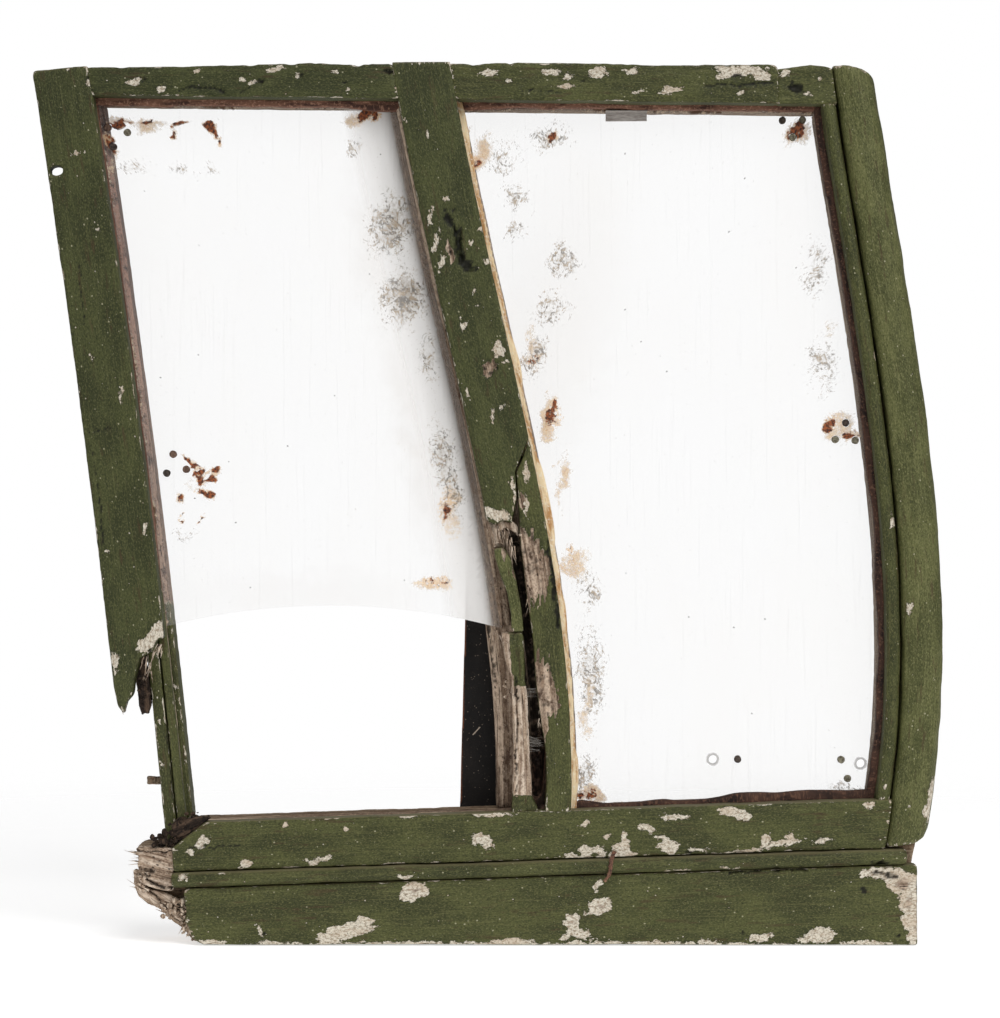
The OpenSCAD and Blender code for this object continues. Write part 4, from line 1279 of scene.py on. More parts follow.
@dataclass
class Mullion:
    """The middle pillar: its face, the long rotted split near the foot, and the wood behind."""

    stock: Stock
    flakes: tuple[Flake, ...] = (
        Flake(-34.5, 437, 1.5, 4.5, -12), Flake(-31.5, 423, 1.1, 7.5, -12), Flake(-28, 410, 1.6, 5.0, -12),
        Torn(-23, 414, 2.8, 4.6), Flake(-14.4, 371, 1.6, 3.0, 15), Flake(-16, 376, 1.8, 1.0, 0),
        Flake(-8.7, 392.4, 1.5, 1.0, 40), Flake(-7, 383, 0.9, 0.9), Flake(-5.6, 430.6, 1.6, 1.0),
        Flake(-10.3, 420.7, 1.3, 1.6), Flake(-1, 410, 1.3, 2.6, 30), Flake(6.0, 357, 3.2, 5.6, 15),
        Flake(10, 349.5, 2.6, 1.2, 20), Torn(0.4, 347, 4.6, 4.6), Flake(3, 318, 0.9, 3.2),
        Flake(9, 322, 0.9, 1.2), Flake(-25, 447, 2.2, 1.1, -30), Flake(4, 258, 9.5, 3.4, -14),
        Flake(-4, 254, 3.0, 5.0), Flake(15.6, 268, 1.0, 9.0, 8), Flake(19, 281, 1.1, 5.0),
        Flake(-13, 331, 0.8, 2.2), Flake(-57, 506, 2.0, 1.2), Flake(-50, 494, 1.0, 1.0),
        Flake(-37, 486, 1.2, 1.6),
    )
    knots: tuple[Pit, ...] = each(
        Pit, (-24, 435.5, 2.3, 6.0, 16, 3.0), (-21.5, 441, 1.6, 1.4, 0, 1.6),
        (-17.6, 423, 1.8, 8.5, -10, 5.0), (-16.5, 412, 2.4, 4.5, 0, 4.6), (-12.0, 407, 4.6, 3.2, -20, 3.4),
        (-23, 415, 1.0, 1.6, 0, 2.0), (-2.4, 346.5, 1.3, 1.1, 0, 2.4), (0.6, 350.0, 1.0, 1.0, 0, 2.0),
        (1.4, 343.4, 1.6, 1.2, 20, 2.4), (4.8, 346.6, 0.8, 3.0, 12, 3.0),
    )

    def build(self) -> None:
        """Builds the pillar's pieces."""
        Timber(
            "mullion_face_board", MULLION_LEFT, self.stock.green_painted_shade, seed=6, flakes=self.flakes,
            pits=self.knots,
            splits=(
                Split(((-20.5, 431), (-17.8, 421), (-16.8, 410)), 1.8, 5.5),
                Split(((16, 284), (18, 276), (17.4, 262)), 1.2, 3.0),
            ),
        ).make()
        RottedTimber(
            "mullion_torn_wood", MULLION_LEFT, self.stock.torn, seed=7, voxel=0.7, crumble=1.6, furrow=1.5
        ).make()
        Timber(
            "mullion_right_strip", MULLION_LEFT, self.stock.green, seed=8, voxel=0.9, lumps=0.3,
            flakes=(
                Torn(27.5, 225, 9.5, 19.0, 4), Torn(22, 240, 7.0, 9.0), Torn(23, 214, 4.5, 10.0),
                Torn(35, 152, 7.0, 16.0, 10), Torn(31, 136, 5.0, 9.0, 20), Torn(28, 162, 5.0, 8.0),
                Torn(30, 170, 8.0, 4.0), Torn(19.5, 266, 2.2, 6.0), Flake(22.5, 283, 1.4, 5.0),
                Flake(31, 108, 1.6, 6.0), Flake(22.5, 262, 1.3, 6.0, 5),
            ),
            splits=(Split(((35.5, 242), (38.5, 222), (40.5, 203), (42, 190)), 3.6, 2.6),),
        ).make()
        Timber(
            "mullion_loose_splinter", MULLION_LEFT, self.stock.green_painted_highlight, seed=9, voxel=0.7,
            flakes=(Torn(11.5, 238, 4.4, 6.0, -20), Torn(15.4, 228, 1.6, 9.5, 8), Flake(8, 214, 0.8, 1.6)),
        ).make()
        FootStrip(
            "mullion_foot_strip", MULLION_LEFT, self.stock.green_torn, seed=10, voxel=0.8, crumble=0.9,
            furrow=1.1, furrow_width=2.2,
            pits=(
                Pit(12, 149, 1.5, 2.6, 0, 3.5), Pit(5.5, 118, 0.9, 1.6, 0, 2.5),
                Pit(9, 131, 0.8, 1.3, 0, 2.0),
            ),
            splits=(
                Split(((0, 189), (2, 170), (4.5, 155)), 2.4, 3.5),
                Split(((16.6, 160), (17, 135), (16.2, 112), (16.8, 92)), 1.2, 2.6),
            ),
        ).make()
        MullionCore(
            "core_mullion", MULLION_LEFT, self.stock.bare, seed=11, voxel=1.5, crumble=0.35, furrow=0.45,
            splits=(CREVICE, Split(((0, 189), (3, 158)), 3.0, 1.5)),
        ).make()


@dataclass
class RightPillar:
    """The right pillar: a small bead and a broad rounded moulding on the core stile."""

    stock: Stock

    def build(self) -> None:
        """Builds the pillar's pieces."""
        Timber(
            "right_inner_bead", RIGHT_INNER, self.stock.green, seed=12, lumps=0.28, voxel=0.9,
            flakes=each(
                Flake, (243, 253, 1.5, 3.4), (240, 300, 1.0, 3.0), (234, 352, 1.2, 4.0), (236, 83, 2.0, 3.4),
                (238, 96, 1.5, 2.0),
            ),
        ).make()
        Timber(
            "right_outer_moulding", RIGHT_GROOVE, self.stock.green_painted_highlight, seed=13, lumps=0.60, wobble=0.45,
            voxel=1.1,
            flakes=each(
                Flake, (267, 88, 3.4, 12.0, -8), (263, 80, 3.0, 3.4), (253, 203, 1.0, 2.6),
                (249.5, 434, 1.4, 4.5, -8), (252, 84, 1.2, 1.2), (243.5, 246, 1.4, 3.2),
            ),
        ).make()
        RottedTimber(
            "core_right_stile", RIGHT_GROOVE, self.stock.back, seed=14, voxel=1.5, crumble=0.3, furrow=0.4
        ).make()


@dataclass
class TopRail:
    """The rails along the top and the block in the right corner."""

    stock: Stock

    def build(self) -> None:
        """Builds the pieces."""
        TopEdge(
            "top_face_rail_left", HEAD, self.stock.green_painted_shade, seed=15, lumps=0.35,
            flakes=each(
                Flake, (-213.5, 518, 4.0, 2.4, 20), (-196, 514, 3.0, 2.2, 35), (-175, 524.5, 1.3, 1.2),
                (-141, 518, 3.4, 1.6, 25), (-128, 525.5, 5.0, 1.8, 10), (-115, 522, 1.6, 1.6),
                (-148, 519.5, 1.2, 1.2), (-84, 513, 1.4, 1.4), (-92, 524, 1.6, 1.2),
            ),
            pits=each(
                Pit, (-206, 520, 1.8, 1.3, 0, 2.0), (-137, 519, 3.2, 1.3, 20, 2.4),
                (-112, 521.5, 3.6, 1.2, 0, 2.4), (-61, 524.5, 4.0, 1.8, 0, 3.0),
                (-86, 518, 2.0, 0.9, 15, 1.8),
            ),
            splits=(
                Split(((-186, 512), (-178, 515), (-168, 514.5), (-158, 512)), 1.5, 1.8),
                Split(((-150, 511), (-144, 516)), 1.0, 1.4),
            ),
        ).make()
        TopEdge(
            "top_face_rail_right", HEAD, self.stock.green, seed=16, lumps=0.35,
            flakes=each(
                Flake, (38, 524, 5.5, 2.0, 5), (48, 521.5, 3.0, 1.4), (66, 524, 6.0, 2.8, -8),
                (85, 525, 4.5, 2.0), (46, 515, 4.5, 1.0, 12), (109, 513, 6.5, 1.6, 5), (90, 512, 2.6, 1.2),
                (152, 512, 2.4, 1.2), (151, 525, 15.0, 3.6), (163, 522, 6.0, 3.4), (140, 521, 4.5, 2.0),
                (0, 523, 5.0, 2.2), (12, 519, 2.0, 1.0),
            ),
            pits=(Pit(150, 521.5, 4.0, 1.1, 0, 1.6), Pit(57, 519, 2.0, 0.9, 0, 1.4)),
            splits=(
                Split(((127, 516.5), (150, 516), (171, 517.5)), 1.2, 1.6),
                Split(((20, 513), (44, 511.6)), 0.9, 1.0),
            ),
        ).make()
        Timber(
            "top_right_corner_block", HEAD, self.stock.green, seed=17, lumps=0.5, voxel=0.9,
            flakes=(Flake(192, 511, 2.2, 1.6), Flake(178, 523, 4.0, 1.8), Flake(199, 519, 1.4, 1.2)),
            pits=(Pit(184, 515, 5.5, 3.2, -10, 3.6),),
        ).make()
        RottedTimber(
            "core_top_rail", HEAD, self.stock.back, seed=18, voxel=1.4, crumble=0.3, furrow=0.45
        ).make()


@dataclass
class BottomRails:
    """The bottom face rail, the half-round bead, the sill and the core rail behind them."""

    stock: Stock
    rail_flakes: tuple[Flake, ...] = each(
        Flake, (80, 54.8, 8.5, 3.0), (79.5, 58.5, 5.0, 3.4), (81.5, 63, 2.4, 5.0), (57.5, 55, 4.2, 5.0, 8),
        (49.5, 53, 5.5, 1.8, 6), (66, 56, 3.8, 3.2), (108, 58.6, 6.4, 4.4, 8), (94, 70.2, 4.6, 1.8, -22),
        (104, 64.4, 3.6, 1.1), (58, 73.4, 3.4, 1.7, 20), (112, 77, 8.5, 1.8), (147, 79.5, 9.0, 2.6, -6),
        (154, 77, 4.5, 2.6), (176, 61, 10.5, 2.0, 9), (181.5, 64.5, 2.6, 3.6, -10), (166, 63.5, 2.8, 3.4),
        (154, 56, 9.0, 1.5, 5), (200, 62.5, 4.8, 1.4, 8), (126, 57.4, 8.0, 1.2, 4), (-48, 77.4, 7.5, 1.2),
        (-4, 63.5, 5.5, 4.0, -14), (-1, 59.5, 4.2, 1.8), (-179.5, 55, 2.6, 2.2), (-172, 62, 5.5, 2.8, 42),
        (-146, 48.5, 4.0, 2.6), (-105, 50.5, 5.0, 1.6), (-97, 51.5, 3.0, 1.6), (-122, 72, 1.8, 1.4),
        (-86, 70, 1.4, 1.2), (0, 79, 12.0, 1.6), (228, 84, 3.4, 2.0), (72, 65, 1.6, 1.2),
    )
    sill_flakes: tuple[Flake, ...] = each(
        Flake, (-84, 8.6, 15.5, 4.4, 10), (-76, 13, 7.0, 3.8, 30), (-95, 4.5, 8.0, 3.2),
        (-44, 32.5, 8.4, 5.6, 10), (-49, 27.5, 4.0, 2.4), (65, 35.5, 2.2, 4.6, -28),
        (67.5, 23, 6.2, 5.2, 14), (61, 19.6, 4.6, 1.2, 30), (50.5, 14, 5.4, 5.0), (55, 6, 8.0, 3.0, -16),
        (46, 4, 3.6, 2.4), (200, 6, 9.6, 4.4, 12), (190, 3, 5.0, 2.0), (163, 4.5, 7.5, 2.2, 6),
        (236, 43, 13.0, 4.2), (249, 37, 9.5, 7.0), (252.5, 24, 5.4, 15.0), (256, 8, 4.2, 12.0),
        (-70, 0.2, 70, 1.5), (90, 0.2, 90, 1.5), (-166, 1.0, 9.0, 2.0), (-126, 0.6, 12.0, 1.8),
        (-44, 0.6, 16.0, 1.6), (10, 1.2, 15.0, 2.6, 4), (96, 0.5, 20.0, 1.6), (130, 1.0, 9.0, 1.8),
        (226, 0.8, 14.0, 2.0), (-137, 9, 1.2, 3.4, 30), (-50, 40.6, 5.4, 1.6),
    )

    def build(self) -> None:
        """Builds the pieces."""
        Timber(
            "bottom_face_rail", RAIL_FOOT, self.stock.green, seed=19, lumps=0.24, flakes=self.rail_flakes,
            pits=(Pit(150, 55, 4.5, 0.9, 4, 1.8), Pit(121, 55.5, 5.0, 1.0, 6, 1.8)),
            splits=(Split(((-182, 58), (-150, 60)), 0.7, 0.5),),
        ).make()
        Timber(
            "sill_bead", SILL_TOP, self.stock.green, seed=20, voxel=0.9, lumps=0.35,
            flakes=each(
                Flake, (-49, 41, 5.0, 1.4), (112, 44.5, 7.0, 1.3, 4), (143, 47.4, 4.0, 1.0),
                (-183, 41, 3.0, 1.8), (-160, 44, 1.6, 1.0), (204, 46, 4.0, 1.2),
            ),
            pits=(Pit(237, 47.6, 8.5, 3.0, -6, 6.0),),
            splits=(
                Split(((146, 44.2), (170, 46.2), (192, 46)), 1.8, 3.0),
                Split(((96, 53), (112, 53.8), (124, 54)), 1.0, 1.6),
            ),
        ).make()
        Timber(
            "sill_board", SILL_TOP, self.stock.green, seed=21, lumps=0.16, ridges=0.14,
            flakes=self.sill_flakes,
            pits=each(
                Pit, (152, 8, 1.5, 1.4, 0, 2.4), (246, 6, 1.3, 1.3, 0, 2.0), (224, 33, 2.2, 1.6, 0, 1.6),
                (-134, 7.5, 1.2, 1.2, 0, 1.6), (237, 42.6, 8.0, 2.0, -6, 4.0),
            ),
            splits=(Split(((146, 44.2), (170, 45.6), (192, 46)), 1.6, 3.0),),
        ).make()
        RottedTimber(
            "core_bottom_rail", RAIL_FOOT, self.stock.back, seed=22, voxel=1.6, crumble=0.4, furrow=0.5
        ).make()


@dataclass
class RottenCorner:
    """The rotted lower left corner: a stub, a curled splinter and crumbling wood above them."""

    stock: Stock

    def build(self) -> None:
        """Builds the pieces."""
        RottedTimber(
            "rail_end_stub", Level(46.0, -0.25), self.stock.torn, seed=23, voxel=0.7, crumble=1.5, furrow=2.0,
            pits=(Pit(-205, 43.5, 3.2, 2.2, -20, 3.5), Pit(-198, 50, 1.2, 1.0, 0, 2.0)),
            splits=(
                Split(((-214, 45), (-206, 39.5), (-197, 35), (-189, 33)), 2.0, 3.5),
                Split(((-214, 56), (-200, 55), (-188, 56)), 1.2, 2.4),
            ),
        ).make()
        RottedTimber(
            "rail_end_splinter", Level(30.0, -0.72), self.stock.torn, seed=24, voxel=0.7, crumble=1.5,
            furrow=2.2, furrow_width=3.6,
            pits=(Pit(-188, 22.5, 2.6, 2.8, 0, 4.0), Pit(-181, 13, 1.6, 1.8, 0, 3.0)),
            splits=(Split(((-209, 36), (-199, 27), (-190, 18)), 1.4, 2.6),),
        ).make()
        RottedTimber(
            "corner_rot", Level(66.0, 0.4), self.stock.rot, "dark_wood",
            seed=25, voxel=0.7, crumble=2.8, furrow=1.8
        ).make()


@dataclass(frozen=True)
class Tuft:
    """A bunch of torn fibres: its root, half sizes, the way the fibres point, their length and number."""

    x: float
    z: float
    across: float
    height: float
    y: float
    turn: float
    length: float
    count: int
    thick: float = 0.45


@dataclass(frozen=True)
class Heap:
    """A cluster of crumbs: its middle, half sizes, their biggest radius and number."""

    x: float
    z: float
    across: float
    height: float
    y: float
    depth: float
    radius: float
    count: int


@dataclass
class Debris:
    """Torn fibres, crumbs and cobweb at the broken places."""

    stock: Stock
    seed: int = 7

    def fibres(self, name: str, tufts: Sequence[Tuft], finish: bpy.types.Material, slot: str) -> None:
        """Builds bunches of thin torn fibres.

        Args:
            name: Name of the piece.
            tufts: The bunches.
            finish: Material of the fibres.
            slot: Material slot of the record.
        """
        rng = np.random.default_rng(self.seed)
        parts = []
        for tuft in tufts:
            for _ in range(tuft.count):
                spread = rng.uniform(-1, 1, 3)
                long = tuft.length * rng.uniform(0.4, 1.0)
                turn = math.radians(tuft.turn + 9 * rng.normal())
                way = np.array((math.cos(turn), 0.12 * rng.normal(), math.sin(turn)))
                root = np.array((tuft.x, tuft.y, tuft.z)) + spread * (tuft.across, 1.4, tuft.height)
                middle = (root + way * long / 2) * MM
                bpy.ops.object.select_all(action="DESELECT")
                bpy.ops.mesh.primitive_cone_add(
                    vertices=6, radius1=tuft.thick * rng.uniform(0.5, 1.2) * MM, radius2=0.06 * MM,
                    depth=long * MM, location=tuple(middle), rotation=(0, math.pi / 2 - turn, 0),
                )
                part = settled()
                bpy.ops.object.mode_set(mode="EDIT")
                bpy.ops.mesh.select_all(action="SELECT")
                bpy.ops.mesh.subdivide(number_cuts=2)
                bpy.ops.object.mode_set(mode="OBJECT")
                parts.append(part)
        self.finish(joined(name, parts), finish, slot, 0.35)

    def crumbs(self, name: str, heaps: Sequence[Heap], finish: bpy.types.Material, slot: str) -> None:
        """Builds clusters of rough crumbs.

        Args:
            name: Name of the piece.
            heaps: The clusters.
            finish: Material of the crumbs.
            slot: Material slot of the record.
        """
        rng = np.random.default_rng(self.seed + 1)
        parts = []
        for heap in heaps:
            for _ in range(heap.count):
                spread = np.clip(rng.normal(0, 0.5, 3), -1, 1)
                place = np.array((heap.x, heap.y, heap.z)) + spread * (heap.across, heap.depth, heap.height)
                size = heap.radius * rng.uniform(0.35, 1.0) * rng.uniform(0.6, 1.4, 3)
                bpy.ops.object.select_all(action="DESELECT")
                bpy.ops.mesh.primitive_ico_sphere_add(
                    subdivisions=2, radius=MM, location=tuple(place * MM), scale=tuple(size),
                    rotation=tuple(rng.uniform(0, math.pi, 3)),
                )
                parts.append(settled())
        self.finish(joined(name, parts), finish, slot, 0.6)

    def finish(self, piece: bpy.types.Object, finish: bpy.types.Material, slot: str, rough: float) -> None:
        """Roughens a joined piece and dresses it."""
        skin = Skin(piece)
        push = shove(skin.points, (1.5, 1.5, 1.5), 81)
        skin.points += push * rough
        skin.store("grain", skin.points[:, 2], skin.points[:, 0], skin.points[:, 1])
        skin.store("tone", 0.25 * ease(push[:, 0], 0.0, 0.6), 0.0, 0.0)
        skin.write()
        piece.data.materials.append(finish)
        hand_over(piece, slot)

    def build(self) -> None:
        """Builds the loose pieces of every broken place."""
        face, core = (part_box(node)[0][1] / MM for node in ("left_face_board", "core_mullion"))
        self.fibres(
            "torn_fibres",
            each(
                Tuft, (-199, 178, 3.5, 2.5, face + 4, -100, 9, 12),
                (-205, 168, 2.5, 5, face + 5, -98, 10, 12), (-220, 144, 2.6, 1.5, face + 5, -84, 6, 9, 0.6),
                (6, 249, 7, 2.5, face + 4, -84, 11, 22, 0.5), (13, 240, 3, 5, face + 4, -80, 12, 14),
                (3, 186, 3.5, 5, core - 2, -84, 12, 14), (26, 205, 5, 4, face + 1, -84, 6, 10, 0.35),
                (32, 136, 2, 6, face + 2, -96, 5, 6, 0.3), (-206, 52, 3, 5, face + 5, 168, 12, 16, 0.6),
                (-205, 37, 3, 6, face + 5, 152, 13, 18, 0.7), (-190, 20, 6, 6, face + 6, 150, 12, 14, 0.6),
                (-180, 8, 5, 5, face + 6, -120, 7, 10, 0.5),
            ),
            self.stock.torn, "bare_wood",
        )
        self.crumbs(
            "wood_crumbs",
            each(
                Heap, (-188, 21, 9, 6, face + 5, 3, 1.9, 34), (-179, 11, 6, 6, face + 5, 3, 1.8, 26),
                (-174, 4.5, 6, 3, face + 5, 3, 1.4, 16), (-205, 38, 6, 4, face + 5, 3, 1.5, 14),
                (-192, 47, 5, 4, face + 3, 2, 1.2, 12), (12, 152, 3, 8, core - 4, 2, 1.1, 16),
                (22, 246, 3, 4, face + 3, 2, 1.2, 10), (21, 90, 4, 4, face + 2, 2, 1.2, 14),
            ),
            self.stock.torn, "bare_wood",
        )
        self.crumbs(
            "rot_crumbs",
            each(
                Heap, (-194, 63, 8, 5, face + 5, 3, 2.0, 40), (-186, 71, 6, 4, face + 5, 3, 1.7, 26),
                (-178, 76, 5, 2.5, face + 8, 3, 1.3, 14), (-207.5, 150, 3.0, 7, face + 6, 3, 1.4, 34),
                (-207, 160, 3, 6, face + 6, 3, 1.3, 16), (28, 186, 3, 20, core - 1, 2, 1.3, 20),
                (30, 118, 3, 10, core - 1, 2, 1.2, 12),
            ),
            self.stock.rot, "dark_wood",
        )
        self.fibres(
            "cobweb",
            each(
                Tuft, (23, 151, 1.0, 2.5, core - 4, 4, 9, 12, 0.14),
                (25, 121, 1.0, 3.5, core - 4, -8, 9, 14, 0.14),
                (31, 119, 1.0, 3.5, core - 4, 170, 9, 10, 0.14),
            ),
            self.stock.web, "bare_wood",
        )


# ---------------------------------------------------------------- glazing


@dataclass(frozen=True)
class Stain:
    """A stained patch of a pane: its middle, half sizes, turn in degrees and strength."""

    x: float
    z: float
    across: float
    height: float
    turn: float = 0.0
    strength: float = 0.5

    def density(self, points: np.ndarray) -> np.ndarray:
        """How strong it is at each point."""
        reach = min(self.across, self.height)
        inside = Flake(self.x, self.z, self.across, self.height, self.turn).inside(points) / reach
        return self.strength * ease(inside, -0.15, 0.8)


@dataclass
class Pane:
    """One clear sheet, cut to a fine grid so that its stains can be laid on it."""

    node: str
    left: Upright
    right: Upright
    open_holes: tuple[tuple[float, float], ...]
    stains: dict[str, tuple[tuple[float, ...], ...]]
    milky: float = 0.0
    step: float = 5.0

    def gridded(self) -> bpy.types.Object:
        """The sheet's copy, cut across both ways."""
        piece = copy_of(self.node, f"{self.node}_stained")
        low, high = (np.array(corner, float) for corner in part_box(self.node))
        bpy.ops.object.mode_set(mode="EDIT")
        for axis, normal in ((0, (1, 0, 0)), (2, (0, 0, 1))):
            for place in np.arange(low[axis] + self.step * MM, high[axis], self.step * MM):
                bpy.ops.mesh.select_all(action="SELECT")
                corner = [0.0, 0.0, 0.0]
                corner[axis] = float(place)
                bpy.ops.mesh.bisect(plane_co=corner, plane_no=normal)
        bpy.ops.mesh.select_all(action="SELECT")
        bpy.ops.mesh.subdivide(number_cuts=1)
        bpy.ops.object.mode_set(mode="OBJECT")
        return piece

    def make(self) -> bpy.types.Object:
        """Builds the pane.

        Returns:
            The finished piece.
        """
        piece = self.gridded()
        skin = Skin(piece)
        points = skin.points
        shoved = points + shove(points, (9, 90, 9), 75, 3) * (6.5, 0, 6.5)
        fields = {
            kind: np.maximum.reduce([Stain(*row).density(shoved) for row in rows])
            for kind, rows in self.stains.items()
        }
        x, z = points[:, 0], points[:, 2]
        gaps = (x - self.left.at(z), self.right.at(z) - x, HEAD.at(x) - HEAD_REVEAL - z, z - RAIL_TOP.at(x))
        nearest = np.minimum.reduce(gaps)
        patchy = 0.75 + 0.5 * noise(points, (26, 90, 26), 74, 2)
        border = 0.62 * patchy * np.exp(-np.clip(nearest, 0, None) / 3.4)
        inward = self.right.at(z) - x
        bloom = self.milky * ease(inward, 2.5, 11.5) * ease(inward, 42.0, 12.0)
        fields["haze"] = np.maximum(fields["haze"], 0.36 * (self.milky > 0) * ease(inward, 15.0, 6.0))
        skin.store("stain", fields["rust"], fields["cream"], fields["grey"])
        skin.store("film", fields["haze"], border, bloom)
        piece.data.materials.append(ClearSheet(f"{self.node} sheet", self.open_holes).make())
        return hand_over(piece, "clear_sheet", self.node)


@dataclass
class Bedding(Timber):
    """A strip of bedding whose visible side bulges unevenly out of the joint."""

    slot: str = "brown_bedding"
    coat: Coat = Coat.NONE
    bulge: tuple[float, float] = (0.0, 0.0)
    toward: tuple[float, float, float] = (1.0, 0.0, 0.0)
    wave: float = 30.0
    drawn_in: float = 0.0
    drawn_above: float = 600.0

    def carve(self, skin: Skin, grain: np.ndarray) -> None:
        """Pushes the visible side out by between the two amounts of bulge."""
        facing = ease(skin.normals @ np.array(self.toward), 0.3, 0.8)
        low, high = self.bulge
        push = low + (high - low) * ease(noise(grain, (self.wave, 90, 90), self.seed + 9, 3), -0.6, 0.6)
        push = push - self.drawn_in * ease(skin.points[:, 2], self.drawn_above - 60, self.drawn_above + 40)
        skin.points += np.outer(facing * push, self.toward)


@dataclass(frozen=True)
class DriedDirt(Finish):
    """Dirt and rust packed hard into a hole."""

    pale: Colour
    dark: Colour

    def dress(self, bench: Bench) -> None:
        """Adds the nodes."""
        place = bench.place()
        crumbs = bench.noise(place, (0.9, 0.9, 0.9), 4, 0.7)
        colour = bench.blend(bench.band(crumbs, 0.38, 0.62), self.dark, self.pale)
        bench.set(Base_Color=colour, Roughness=0.95)
        bench.bump(bench.times(crumbs, 0.5))


def hole_ring(x: float, z: float, turn: float, radius: float = 7.0) -> tuple[tuple[float, float], ...]:
    """Middles of three holes on one circle."""
    angles = [math.radians(turn + step) for step in (0, 120, 240)]
    return tuple((x + radius * math.cos(a), z + radius * math.sin(a)) for a in angles)


